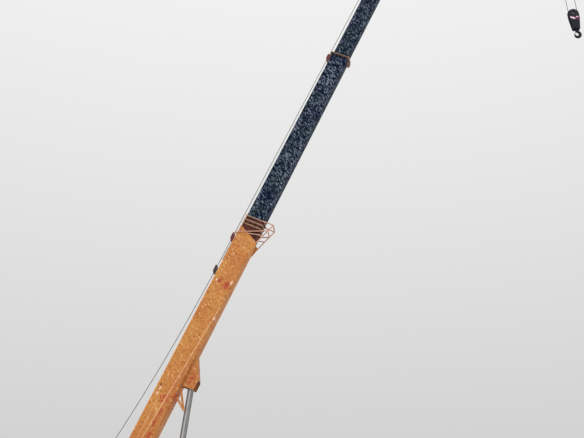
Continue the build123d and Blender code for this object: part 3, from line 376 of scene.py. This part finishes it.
def orange_paint():
    """Weathered orange-yellow paint: rust mottle, red blotches, pale scratches and pale plate edges, with
    painted shade below the doubler line, a painted shadow along the bracket's sole, and a doubler edge line
    that is partly a painted highlight.
    """
    n = Nodes("boom_orange_paint")
    colour = n.mix(n.step(n.noise(1.2, 3.0), 0.38, 0.64), ORANGE, ORANGE_DEEP)
    grain = n.noise(11.0, 4.0, 0.75)
    fine = n.noise(25.0, 3.0, 0.7)
    rust = n.greatest(n.step(grain, 0.52, 0.64, 0.85), n.step(fine, 0.55, 0.66, 0.65))
    colour = n.mix(rust, colour, ORANGE_RUST_AND_SHADE)
    pale = n.greatest(n.step(grain, 0.44, 0.33, 0.55), n.strokes(11.0, 3.0, 0.26, -0.7))
    colour = n.mix(n.times(pale, 0.70), colour, ORANGE_PALE)
    # Painted shade: the side below the doubler line is made a little darker in the rust colour
    below = n.step(n.beside(DOUBLER_TAIL, DOUBLER_END), 0.01, -0.01, 0.22)
    colour = n.mix(below, colour, ORANGE_RUST_AND_SHADE)
    spots = n.math("MULTIPLY_ADD", fine, 0.6, n.times(grain, 0.4))
    broken = n.step(n.math("MULTIPLY_ADD", n.blots(RED_BLOTCHES), 0.24, spots), 0.60, 0.68)
    colour = n.mix(n.times(broken, 0.85), colour, BLOTCH)
    # Painted shadow: a dark line along the lift bracket's sole
    colour = n.mix(n.stripe(BRACKET_SOLE_REAR, BRACKET_SOLE_FRONT, 0.014), colour, DARK_STAIN_AND_SHADOW)
    across = n.math("ABSOLUTE", n.axes()["Y"])
    on_side = n.step(across, BASE_HALF_WIDTH - 0.020, BASE_HALF_WIDTH - 0.010)
    stain = n.step(n.math("MULTIPLY_ADD", fine, 1.4, n.blots(DARK_STAINS)), 1.20, 1.50, 0.85)
    colour = n.mix(n.times(stain, on_side), colour, DARK_STAIN_AND_SHADOW)
    chalk = n.step(n.math("MULTIPLY_ADD", fine, 1.2, n.blots(CHALKY_SPOTS)), 1.05, 1.45, 0.8)
    colour = n.mix(chalk, colour, PINK_PALE)
    # Pale lines, broken up by noise: worn paint and pale welds, the doubler's edge line partly a painted
    # highlight
    lines = n.greatest(*[n.times(n.stripe(start, end, half), top) for start, end, half, top in PALE_LINES])
    line_strength = n.math("MULTIPLY_ADD", n.step(fine, 0.42, 0.56), 0.6, 0.2)
    colour = n.mix(n.times(lines, line_strength), colour, LINE_PALE)
    n.bump(n.math("ADD", n.times(grain, 0.5), broken), 0.35, 0.003)
    return n.finish(colour, n.math("MULTIPLY_ADD", rust, 0.25, 0.55), specular=0.25)


def dark_paint():
    """Blue-black paint with steep pale frost strokes."""
    n = Nodes("boom_dark_paint")
    colour = n.mix(n.step(n.noise(1.6, 4.0), 0.40, 0.62), NAVY, TEAL)
    frost = n.greatest(*[n.times(n.strokes(*layer), strength) for *layer, strength in FROST_LAYERS])
    patchy = n.math("MULTIPLY_ADD", n.step(n.noise(2.4, 3.0), 0.38, 0.62), 0.45, 0.30)
    colour = n.mix(n.times(frost, patchy), colour, FROST)
    n.bump(frost, 0.25, 0.002)
    return n.finish(colour, n.math("MULTIPLY_ADD", frost, 0.15, 0.60), specular=0.03)


def collar_paint():
    """Brown collars: a pale worn strip at each front rim, with painted shade in dark brown behind it."""
    n = Nodes("collar_brown_paint")
    along = n.axes()["X"]
    behind = n.math("SUBTRACT", SECOND_HEAD + 0.004, along)
    folded = n.math("MODULO", n.math("ADD", behind, 3 * EXPOSED), EXPOSED)
    grain = n.noise(20.0, 4.0, 0.7)
    # Painted shade: each collar behind its rim is mottled dark brown
    body = n.mix(n.step(grain, 0.42, 0.62), COLLAR_SHADE, COLLAR_BROWN)
    front = n.rest_of(n.step(folded, 0.014, 0.026))
    lug = n.step(n.axes()["Z"], -0.30, -0.36)
    pale = n.times(n.greatest(front, n.times(lug, 0.45)), n.step(grain, 0.30, 0.45))
    body = n.mix(n.times(pale, 0.85), body, COLLAR_WORN)
    n.bump(grain, 0.3, 0.002)
    return n.finish(body, 0.6, specular=0.1)


def shroud_paint():
    """Dark brown sleeve with olive-pale ribs and dried dark red paint between them."""
    n = Nodes("shroud_brown_paint")
    along = n.axes()["X"]
    back = n.math("SUBTRACT", SHROUD_FRONT, along)
    past_rib = n.math("MODULO", n.math("ADD", back, 3 * RIB_PITCH), RIB_PITCH)
    on_rib = n.rest_of(n.step(past_rib, RIB, RIB + 0.004))
    on_rib = n.times(on_rib, n.step(back, 3 * RIB_PITCH, 3 * RIB_PITCH - 0.05))
    grain = n.noise(14.0, 4.0, 0.7)
    body = n.mix(n.step(grain, 0.45, 0.60), SHROUD_DARK, SHROUD_RED)
    rib = n.mix(n.step(grain, 0.44, 0.60), RIB_OLIVE, RIB_PINK)
    body = n.mix(n.times(on_rib, n.step(grain, 0.34, 0.46, 0.9)), body, rib)
    n.bump(grain, 0.3, 0.002)
    return n.finish(body, 0.65, specular=0.1)


def worn_paint(name, colour, worn, snow=0.0, size=12.0):
    """Paint with dirt in patches, worn spots, and frost or snow on what looks up."""
    n = Nodes(name)
    grain = n.noise(size, 5.0, 0.7)
    body = n.mix(n.step(grain, 0.50, 0.72, 0.75), colour, worn)
    dirt = n.step(n.noise(4.0, 4.0), 0.52, 0.75, 0.7)
    body = n.mix(dirt, body, DIRT)
    if snow:
        lying = n.step(n.math("MULTIPLY_ADD", grain, 0.5, n.upward()), 0.55, 0.95, snow)
        body = n.mix(lying, body, SNOW)
    n.bump(grain, 0.3, 0.002)
    return n.finish(body, n.math("MULTIPLY_ADD", grain, 0.3, 0.40), specular=0.2)


def darker(colour, share):
    """A colour with each channel cut to a share."""
    return tuple(share * channel for channel in colour)


def bare_steel(name, colour):
    """Dull machined steel with a grain drawn along the boom."""
    n = Nodes(name)
    drawn = n.mapped(n.place, scale=(0.2, 1, 1))
    grain = n.noise(30.0, 4.0, 0.6, drawn)
    body = n.mix(n.step(grain, 0.35, 0.75), colour, darker(colour, 0.55))
    n.bump(grain, 0.15, 0.001)
    return n.finish(body, n.math("MULTIPLY_ADD", grain, 0.3, 0.4), 0.8)


def rod_steel():
    """The ground rod: a painted highlight along the middle of each side, with painted shade along its rear
    and its front.
    """
    n = Nodes("ground_rod")
    axis = n.beside(LIFT_PIN, LIFT_FOOT)
    grain = n.noise(14.0, 4.0, 0.6, n.mapped(n.place, scale=(0.15, 1, 1)))
    body = n.mix(n.step(grain, 0.35, 0.75), STEEL, darker(STEEL, 0.62))
    # Painted highlight along the rod's middle
    middle = n.rest_of(n.step(n.math("ABSOLUTE", axis), 0.006, 0.030))
    body = n.mix(middle, body, ROD_HIGHLIGHT)
    # Painted shade along the rod's rear and front edges
    edge_shade = n.greatest(n.step(axis, 0.048, 0.072, 0.90), n.step(axis, -0.078, -0.092, 0.6))
    body = n.mix(edge_shade, body, ROD_EDGE_SHADE)
    n.bump(grain, 0.12, 0.001)
    return n.finish(body, 0.35, 0.3)


def rope_steel():
    """Wire rope: the strands' spiral comes from the piece's own length and turn."""
    n = Nodes("wire_rope")
    turn = n.add("ShaderNodeUVMap", uv_map="UVMap").outputs["UV"]
    axes = n.axes(turn)
    spiral = n.math("ADD", n.times(axes["X"], STRANDS), n.math("DIVIDE", axes["Y"], ROPE_LAY / STRANDS))
    wave = n.math("ABSOLUTE", n.math("SINE", n.times(spiral, math.pi)))
    grease = n.noise(9.0, 3.0)
    body = n.mix(n.step(grease, 0.4, 0.7), STRAND, STRAND_GREASY)
    body = n.mix(n.rest_of(n.step(wave, 0.0, 0.5)), body, STRAND_GAP)
    n.bump(wave, 0.7, 0.002)
    return n.finish(body, 0.5, 0.5)


def block_paint():
    """Chipped black paint: pale flecks on top, and two pale patches with plum between them on each cheek."""
    n = Nodes("block_black_paint", boom_axes=False)
    low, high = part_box("block_weights")
    centre = ((low[0] + high[0]) / 2, 0, (low[2] + high[2]) / 2)
    half_width = (high[0] - low[0]) / 2
    chips = n.noise(24.0, 5.0, 0.7)
    body = n.mix(n.step(chips, 0.52, 0.70, 0.6), BLOCK_BLACK, BLOCK_CHIPPED)
    flecks = n.step(n.noise(46.0, 3.0, 0.7), 0.60, 0.68, 0.7)
    on_top = n.step(n.axes()["Z"], high[2] - 0.42, high[2] - 0.30)
    body = n.mix(n.times(flecks, on_top), body, BLOCK_FLECK)

    def patch(across, up, length, width, turn):
        """A ragged oval, with its place in half widths across the cheek and metres up from the middle."""
        place = Vector(centre) + Vector((across * half_width, 0, up))
        moved = n.mapped(n.place, location=tuple(-v for v in place))
        turned = n.axes(n.mapped(moved, rotation=(0, turn, 0)))
        first = n.math("DIVIDE", turned["X"], length)
        second = n.math("DIVIDE", turned["Z"], width)
        reach = n.math("ADD", n.times(first, first), n.times(second, second))
        ragged = n.math("MULTIPLY_ADD", chips, 0.9, reach)
        return n.rest_of(n.step(ragged, 1.20, 1.45))

    plum = n.greatest(patch(0.15, 0.02, 0.17, 0.075, -0.2), patch(0.75, 0.04, 0.05, 0.06, 0.0))
    body = n.mix(n.times(plum, 0.9), body, BLOCK_PLUM)
    pink = n.greatest(patch(-0.42, 0.035, 0.115, 0.045, -0.45), patch(0.50, 0.080, 0.050, 0.028, -0.25))
    body = n.mix(pink, body, BLOCK_PINK)
    n.bump(chips, 0.3, 0.002)
    return n.finish(body, 0.5, specular=0.2)


def floor_paint():
    """Plain pale grey."""
    n = Nodes("floor_grey", boom_axes=False)
    soft = n.noise(0.4, 3.0)
    grey = (FLOOR_GREY,) * 3
    body = n.mix(soft, darker(grey, 0.97), grey)
    return n.finish(body, 0.9)


materials = {
    "boom_orange": orange_paint(),
    "boom_dark": dark_paint(),
    "collar_brown": collar_paint(),
    "shroud_brown": shroud_paint(),
    "guard_orange": worn_paint("guard_orange_paint", GUARD_PAINT, GUARD_WORN, 0.6),
    "guide_red": worn_paint("guide_red_paint", GUIDE_PAINT, GUIDE_WORN, 0.2, 16.0),
    "wear_pad": worn_paint("nylon_pad", NYLON, NYLON_WORN),
    "chrome_rod": rod_steel(),
    "cylinder_paint": worn_paint("cylinder_orange_paint", ORANGE, ORANGE_DEEP, 0.2),
    "pin_steel": bare_steel("pin_steel", PIN_STEEL),
    "winch_paint": worn_paint("winch_grey_paint", WINCH_PAINT, WINCH_WORN, 0.3),
    "drum_steel": bare_steel("drum_steel", DRUM_STEEL),
    "rope": rope_steel(),
    "sheave": worn_paint("sheave_iron", SHEAVE_IRON, SHEAVE_WORN),
    "block_black": block_paint(),
    "hook_black": worn_paint("hook_iron", HOOK_IRON, HOOK_WORN, 0.1),
}
slots = {part["node"]: part["material_slot"] for part in frame["record"]["subparts"]}
for node, obj in frame["nodes"].items():
    obj.data.materials.clear()
    obj.data.materials.append(materials[slots[node]])


def mesh_piece(name, mesh, slot, body=None):
    """Adds a mesh to the scene with its material, riding on a body if one is named."""
    obj = bpy.data.objects.new(name, mesh)
    bpy.context.scene.collection.objects.link(obj)
    mesh.materials.append(materials[slot])
    if body:
        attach(obj, body)
    return obj


def rope_mesh(name, path):
    """A round rope along points in the X-Z plane or plumb, with its turn and length as coordinates."""
    verts, faces, lengths = [], [], [0.0]
    for first, second in zip(path, path[1:]):
        lengths.append(lengths[-1] + (second - first).length)
    for index, point in enumerate(path):
        ahead = path[min(index + 1, len(path) - 1)] - path[max(index - 1, 0)]
        out = ahead.cross(ACROSS).normalized()
        for side in range(ROPE_SIDES):
            angle = 2 * math.pi * side / ROPE_SIDES
            verts.append(point + ROPE_RADIUS * (math.cos(angle) * out + math.sin(angle) * ACROSS))
    for ring in range(len(path) - 1):
        near, far = ring * ROPE_SIDES, (ring + 1) * ROPE_SIDES
        for side in range(ROPE_SIDES):
            after = (side + 1) % ROPE_SIDES
            faces.append((near + side, near + after, far + after, far + side))
    mesh = bpy.data.meshes.new(name)
    mesh.from_pydata(verts, [], faces)
    layer = mesh.uv_layers.new(name="UVMap")
    for face in mesh.polygons:
        face.use_smooth = True
        for corner, loop in enumerate(face.loop_indices):
            ring, side = divmod(face.index, ROPE_SIDES)
            turn = side + (1 if corner in (1, 2) else 0)
            layer.data[loop].uv = (turn / ROPE_SIDES, lengths[ring + (1 if corner in (2, 3) else 0)])
    return mesh


def rope_height(section):
    """How far the rope's middle runs above the boom's middle line, over a section."""
    return BASE_HALF_HEIGHT - (section - 1) * HEIGHT_STEP / 2 + ROPE_RISE


def base_rope_path():
    """The sagging stretch from the winch's coil and the straight one between the base section's guides."""
    along = GUIDE_LOW - WINCH_ALONG
    up = rope_height(1) - WINCH_SQUARE
    radius = (along**2 + up**2 - WINCH_COIL**2) / (2 * (WINCH_COIL - up))
    centre = rope_height(1) + radius
    reach = math.hypot(along, centre - WINCH_SQUARE)
    swing = math.asin((along - along * WINCH_COIL / reach) / radius)
    count = 24
    turns = [swing * (1 - step / count) for step in range(count + 1)]
    sag = [boom_point(GUIDE_LOW - radius * math.sin(a), centre - radius * math.cos(a)) for a in turns]
    return sag + [boom_point(GUIDE_HIGH, rope_height(1))]


def arc(centre, start, end, steps):
    """Points on a sheave's pitch circle, with angles in the boom's frame."""
    turns = [start + (end - start) * step / steps for step in range(steps + 1)]
    middle = boom_point(*centre)
    return [middle + SHEAVE_PITCH * (ALONG * math.cos(a) + SQUARE * math.sin(a)) for a in turns]


def head_rope_path():
    """Over the top sheave, down the head and round the nose sheave until plumb."""
    leave = math.atan2(NOSE_SHEAVE[0] - TOP_SHEAVE[0], TOP_SHEAVE[1] - NOSE_SHEAVE[1])
    top = arc(TOP_SHEAVE, math.pi / 2, leave, 16)
    return top + arc(NOSE_SHEAVE, leave, -LUFF, 20)


def rope_piece(name, path, node, body=None):
    """A rope along a path, in place of its CAD node."""
    piece = mesh_piece(name, rope_mesh(name, path), "rope", body)
    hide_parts(node)
    return piece


def make_ropes():
    """The whole reeving: to the head, over it, down both falls and round the block's sheave."""
    rope_piece("rope_from_winch", base_rope_path(), "hoist_rope_1", "boom_base")
    rope_piece("rope_over_head", head_rope_path(), "head_rope", "boom_5")
    start = boom_point(GUIDE_HIGH, rope_height(1))
    for section in range(2, 6):
        if section < 5:
            end = boom_point(SECOND_HEAD + (section - 2) * EXPOSED - GUIDE_SETBACK, rope_height(section))
        else:
            end = boom_point(TOP_SHEAVE[0], rope_height(5))
        piece = rope_piece(f"rope_to_section_{section}", [start, end], f"hoist_rope_{section}")
        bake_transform(piece)
        start = end
    for name in ("live_fall", "dead_fall"):
        low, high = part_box(name)
        x = (low[0] + high[0]) / 2
        top, bottom = Vector((x, 0, high[2])), Vector((x, 0, low[2]))
        piece = rope_piece(f"{name}_rope", [top, bottom], name)
        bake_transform(piece)
    low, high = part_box("block_sheave")
    centre = Vector(((low[0] + high[0]) / 2, 0, (low[2] + high[2]) / 2))
    turns = [math.pi * (1 + step / 24) for step in range(25)]
    path = [centre + BLOCK_PITCH * Vector((math.cos(a), 0, math.sin(a))) for a in turns]
    rope_piece("rope_under_block", path, "block_rope", "hook_block")


def make_coil():
    """The wound rope, one rounded ridge for each turn."""
    low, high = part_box("winch_coil")
    half = (high[1] - low[1]) / 2
    count = int(2 * half / (2 * ROPE_RADIUS))
    centre = boom_point(WINCH_ALONG, WINCH_SQUARE)
    mesh = bmesh.new()
    segments, ridge, inset = 72, 6, 0.0006
    groove = WINCH_COIL - 2 * ROPE_RADIUS - inset
    rows = []
    for step in range(count * ridge + 1):
        phase = (step % ridge) / ridge
        radius = groove + ROPE_RADIUS * math.sin(math.pi * phase)
        across = -half + 2 * half * step / (count * ridge)
        row = []
        for turn in range(segments):
            angle = 2 * math.pi * turn / segments
            out = Vector((radius * math.cos(angle), across, radius * math.sin(angle)))
            row.append(mesh.verts.new(centre + out))
        rows.append(row)
    layer = mesh.loops.layers.uv.new("UVMap")
    run = 2 * math.pi * WINCH_COIL / segments
    for index, (first, second) in enumerate(zip(rows, rows[1:])):
        for turn in range(segments):
            after = (turn + 1) % segments
            face = mesh.faces.new((first[turn], first[after], second[after], second[turn]))
            face.smooth = True
            for loop, (u, v) in zip(face.loops, ((0, 0), (0, 1), (1, 1), (1, 0))):
                loop[layer].uv = (((index + u) % ridge) / (2 * ridge), (turn + v) * run)
    data = bpy.data.meshes.new("wound_rope")
    mesh.to_mesh(data)
    mesh.free()
    piece = mesh_piece("wound_rope", data, "rope", "drum")
    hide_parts("winch_coil")


make_ropes()
make_coil()


class Details:
    """Small fixed pieces of one body, gathered into one mesh."""

    def __init__(self, name, slot, body):
        self.name, self.slot, self.body = name, slot, body
        self.mesh = bmesh.new()

    def skin(self, rows):
        """Faces between rings of as many points."""
        sides = len(rows[0])
        for first, second in zip(rows, rows[1:]):
            for side in range(sides):
                after = (side + 1) % sides
                self.mesh.faces.new((first[side], first[after], second[after], second[side]))

    def lathe(self, place, axis, profile, sides):
        """Turns a profile of (radius, height) pairs about an axis at a place."""
        axis = Vector(axis).normalized()
        across = axis.orthogonal().normalized()
        other = axis.cross(across)
        rows = []
        for radius, height in profile:
            row = []
            for side in range(sides):
                turn = 2 * math.pi * side / sides
                out = math.cos(turn) * across + math.sin(turn) * other
                row.append(self.mesh.verts.new(Vector(place) + axis * height + out * radius))
            rows.append(row)
        self.skin(rows)
        self.mesh.faces.new(rows[-1])

    def bolt(self, place, axis, size):
        """A washer and a six-sided head with a bevelled top."""
        washer = [(size * 1.10, 0), (size * 1.10, size * 0.16), (size * 0.9, size * 0.20)]
        self.lathe(place, axis, washer, 20)
        head = [(size * 0.82, size * 0.15), (size * 0.82, size * 0.62), (size * 0.68, size * 0.72)]
        self.lathe(place, axis, head, 6)

    def bead(self, points, radius, sides=8):
        """A round bead or pipe along points."""
        rows = []
        for index, point in enumerate(points):
            ahead = points[min(index + 1, len(points) - 1)] - points[max(index - 1, 0)]
            ahead.normalize()
            across = ahead.orthogonal().normalized()
            other = ahead.cross(across)
            row = []
            for side in range(sides):
                turn = 2 * math.pi * side / sides
                out = math.cos(turn) * across + math.sin(turn) * other
                row.append(self.mesh.verts.new(point + radius * out))
            rows.append(row)
        self.skin(rows)
        self.mesh.faces.new(rows[0][::-1])
        self.mesh.faces.new(rows[-1])

    def strap(self, centre, along, out, pipe, width):
        """A clip bent over a pipe, with a foot on each side of it."""
        along, out = Vector(along).normalized(), Vector(out).normalized()
        side = along.cross(out)
        thickness = pipe * 0.25
        grip, foot = pipe * 1.05, pipe * 2.4
        turns = [math.pi * step / 10 for step in range(11)]
        arch = [(math.cos(a) * grip, math.sin(a) * grip) for a in turns]
        swell = 1 + thickness / pipe
        top = thickness - pipe
        inner = [(foot, -pipe), (grip, -pipe), *arch, (-grip, -pipe), (-foot, -pipe)]
        outer = [(foot, top), (grip + thickness, top)]
        outer += [(x * swell, y * swell) for x, y in arch]
        outer += [(-grip - thickness, top), (-foot, top)]
        rows = []
        for line in (inner, outer):
            for end in (-width / 2, width / 2):
                rows.append([self.mesh.verts.new(centre + side * x + out * y + along * end) for x, y in line])
        for near, far in ((0, 1), (1, 3), (3, 2), (2, 0)):
            for index in range(len(inner) - 1):
                left, right = rows[near][index : index + 2], rows[far][index : index + 2]
                self.mesh.faces.new((*left, *right[::-1]))

    def place(self):
        """Turns the gathered mesh into a piece of the scene."""
        bmesh.ops.recalc_face_normals(self.mesh, faces=self.mesh.faces)
        data = bpy.data.meshes.new(self.name)
        self.mesh.to_mesh(data)
        self.mesh.free()
        return mesh_piece(self.name, data, self.slot, self.body)


def ring_of(count, start=0.0):
    """Evenly spaced turns round a circle, from a share of a step on."""
    return [2 * math.pi * (step + start) / count for step in range(count)]


def make_base_details():
    """Weld beads along the side doublers, bolts round the foot discs, and a conduit on the top plate."""
    welds = Details("doubler_welds", "boom_orange", "boom_base")
    bolts = Details("foot_disc_bolts", "boom_orange", "boom_base")
    proud, disc_thickness, disc_ring, disc_bolts = 0.004, 0.022, 0.178, 10
    for sign in (-1, 1):
        face = sign * (BASE_HALF_WIDTH + proud)
        welds.bead([boom_point(*DOUBLER_TAIL, face), boom_point(*DOUBLER_END, face)], 0.009)
        welds.bead([boom_point(*HEAD_DOUBLER_FOOT, face), boom_point(*HEAD_DOUBLER_TOP, face)], 0.008)
        disc = sign * (BASE_HALF_WIDTH + disc_thickness)
        for turn in ring_of(disc_bolts):
            place = boom_point(disc_ring * math.cos(turn), disc_ring * math.sin(turn), disc)
            bolts.bolt(place, ACROSS * sign, 0.015)
    welds.place()
    bolts.place()
    pipe = Details("top_conduit", "winch_paint", "boom_base")
    radius, across = 0.013, -0.180
    height = BASE_HALF_HEIGHT + 0.020
    start, end = GUIDE_LOW + 0.35, GUIDE_HIGH - 0.10
    pipe.bead([boom_point(start, height, across), boom_point(end, height, across)], radius, 12)
    margin, clips = 0.05, 5
    for step in range(clips):
        place = boom_point(start + margin + (end - start - 2 * margin) * step / (clips - 1), height, across)
        pipe.strap(place, ALONG, SQUARE, radius, 0.03)
    pipe.place()


def make_guide_bolts():
    """Bolts on the foot plates of the rope guides, between their ears."""
    plate, size = 0.008, 0.009
    for name, middle in (("low", GUIDE_LOW), ("high", GUIDE_HIGH)):
        bolts = Details(f"guide_{name}_bolts", "pin_steel", "boom_base")
        for along in (-0.035, 0.035):
            for across in (-0.022, 0.022):
                bolts.bolt(boom_point(middle + along, BASE_HALF_HEIGHT + plate, across), SQUARE, size)
        bolts.place()
    for section in range(2, 5):
        head = SECOND_HEAD + (section - 2) * EXPOSED
        seat = BASE_HALF_HEIGHT - (section - 1) * HEIGHT_STEP / 2 + plate
        bolts = Details(f"guide_{section}_bolts", "pin_steel", f"boom_{section}")
        for along in (-0.34, -0.29, -0.24):
            for across in (-0.024, 0.024):
                bolts.bolt(boom_point(head + along, seat, across), SQUARE, size)
        bolts.place()


def make_winch_details():
    """Bolts round the gearbox and the motor."""
    bolts = Details("winch_bolts", "pin_steel", "boom_base")
    centre = boom_point(WINCH_ALONG, WINCH_SQUARE)
    low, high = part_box("winch_frame")
    for sign, face, ring, count in ((1, high[1], 0.125, 12), (-1, low[1], 0.055, 6)):
        for turn in ring_of(count):
            place = Vector((centre.x + ring * math.cos(turn), face, centre.z + ring * math.sin(turn)))
            bolts.bolt(place, ACROSS * sign, 0.011)
    bolts.place()


def make_cylinder_details():
    """Bolts on the gland's nose and an oil pipe along the barrel, held by clips."""
    back = Vector((LIFT_FOOT[0] - LIFT_PIN[0], LIFT_FOOT[1] - LIFT_PIN[1]))
    length = back.length
    back.normalize()

    def on_axis(reach, off, across):
        """A place on the cylinder, measured from the rod's pin, off its axis and across."""
        along = LIFT_PIN[0] + back.x * reach + back.y * off
        square = LIFT_PIN[1] + back.y * reach - back.x * off
        return boom_point(along, square, across)

    axis = boom_point(back.x, back.y)
    mouth = length - BARREL_LENGTH
    bolts = Details("gland_bolts", "pin_steel", "cylinder_barrel")
    gland_ring, gland_bolts = 0.117, 8
    for turn in ring_of(gland_bolts, 0.5):
        place = on_axis(mouth, gland_ring * math.cos(turn), gland_ring * math.sin(turn))
        bolts.bolt(place, -axis, 0.009)
    bolts.place()
    pipe = Details("barrel_pipe", "cylinder_paint", "cylinder_barrel")
    radius = 0.011
    across = BARREL + radius + 0.002
    start, end = mouth + 0.42, length - 0.32
    bend = ((0.0, BARREL - 0.01), (0.01, across - 0.006), (0.04, across))
    route = [on_axis(start + run, 0, out) for run, out in bend]
    route += [on_axis(end - run, 0, out) for run, out in reversed(bend)]
    pipe.bead(route, radius, 12)
    margin, clips = 0.25, 4
    for step in range(clips):
        place = on_axis(start + margin + (end - start - 2 * margin) * step / (clips - 1), 0, across)
        pipe.strap(place, axis, ACROSS, radius, 0.03)
    pipe.place()


def make_head_details():
    """Keeper bolts round each sheave pin, on both of the head's side plates."""
    bolts = Details("head_keeper_bolts", "pin_steel", "boom_5")
    low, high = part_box("top_sheave_pin")
    ring, keepers = 0.047, 6
    for sign, face in ((-1, low[1]), (1, high[1])):
        for along, square in (TOP_SHEAVE, NOSE_SHEAVE):
            for turn in ring_of(keepers):
                place = boom_point(along + ring * math.cos(turn), square + ring * math.sin(turn), face)
                bolts.bolt(place, ACROSS * sign, 0.007)
    bolts.place()


def make_block_details():
    """Bolts on the outside of the block's cheek weights."""
    bolts = Details("block_bolts", "hook_black", "hook_block")
    low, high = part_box("block_weights")
    middle = (low[0] + high[0]) / 2
    for sign, face in ((-1, low[1]), (1, high[1])):
        for across, up in ((-0.12, 0.30), (0.12, 0.30), (-0.10, 0.62), (0.10, 0.62), (0.0, 0.84)):
            place = Vector((middle + across, face, high[2] - up))
            bolts.bolt(place, ACROSS * sign, 0.014)
    bolts.place()


make_base_details()
make_guide_bolts()
make_winch_details()
make_cylinder_details()
make_head_details()
make_block_details()


def make_stage():
    """A wide plain floor a little below the boom."""
    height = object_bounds()[0][2] - FLOOR_DROP
    corners = [(x * FLOOR_REACH, y * FLOOR_REACH, height) for x, y in ((-1, -1), (1, -1), (1, 1), (-1, 1))]
    mesh = bpy.data.meshes.new("floor")
    mesh.from_pydata(corners, [], [(0, 1, 2, 3)])
    mesh.materials.append(floor_paint())
    floor = bpy.data.objects.new("floor", mesh)
    bpy.context.scene.collection.objects.link(floor)


def make_world():
    """A pale overcast sky that shows as in the photograph, and lights a little more from above."""
    world = bpy.data.worlds.new("overcast")
    bpy.context.scene.world = world
    world.use_nodes = True
    tree = world.node_tree
    tree.nodes.clear()
    add = tree.nodes.new
    place = add("ShaderNodeTexCoord")
    split = add("ShaderNodeSeparateXYZ")
    tree.links.new(place.outputs["Generated"], split.inputs[0])
    shown = add("ShaderNodeMapRange")
    lit = add("ShaderNodeMapRange")
    for node, values in ((shown, (0.12, 0.68, SKY_LOW, SKY_HIGH)), (lit, (-0.6, 0.9, 0.80, 1.00))):
        tree.links.new(split.outputs["Z"], node.inputs["Value"])
        for socket, value in zip(("From Min", "From Max", "To Min", "To Max"), values):
            node.inputs[socket].default_value = value
    path = add("ShaderNodeLightPath")
    seen = add("ShaderNodeMath")
    seen.operation = "MAXIMUM"
    tree.links.new(path.outputs["Is Camera Ray"], seen.inputs[0])
    more = add("ShaderNodeMath")
    more.operation = "MAXIMUM"
    tree.links.new(path.outputs["Is Glossy Ray"], more.inputs[0])
    tree.links.new(path.outputs["Is Transmission Ray"], more.inputs[1])
    tree.links.new(more.outputs[0], seen.inputs[1])
    chosen = add("ShaderNodeMix")
    chosen.data_type = "FLOAT"
    tree.links.new(seen.outputs[0], chosen.inputs[0])
    tree.links.new(lit.outputs[0], chosen.inputs[2])
    tree.links.new(shown.outputs[0], chosen.inputs[3])
    light = add("ShaderNodeBackground")
    tree.links.new(chosen.outputs[0], light.inputs["Strength"])
    light.inputs["Color"].default_value = (1.0, 1.0, 0.995, 1)
    tree.links.new(light.outputs[0], add("ShaderNodeOutputWorld").inputs["Surface"])


def make_lamp():
    """A wide, weak sun that gives the floor its soft shadow."""
    lamp = bpy.data.lights.new("sky_glow", "SUN")
    lamp.energy = 0.9
    lamp.angle = math.radians(60)
    obj = bpy.data.objects.new("sky_glow", lamp)
    obj.rotation_euler = (math.radians(48), 0, math.radians(-20))
    bpy.context.scene.collection.objects.link(obj)


def make_camera():
    """The camera fitted to the photograph."""
    data = bpy.data.cameras.new("camera")
    data.sensor_width = SENSOR
    data.lens = SENSOR * FOCAL_PIXELS / PICTURE_WIDTH
    data.clip_end = 1000
    camera = bpy.data.objects.new("camera", data)
    camera.location = CAMERA_PLACE
    camera.rotation_euler = (math.pi / 2 + CAMERA_PITCH, 0, -CAMERA_YAW)
    bpy.context.scene.collection.objects.link(camera)
    bpy.context.scene.camera = camera


make_stage()
make_world()
make_lamp()
make_camera()
bpy.context.scene.view_settings.view_transform = "Standard"
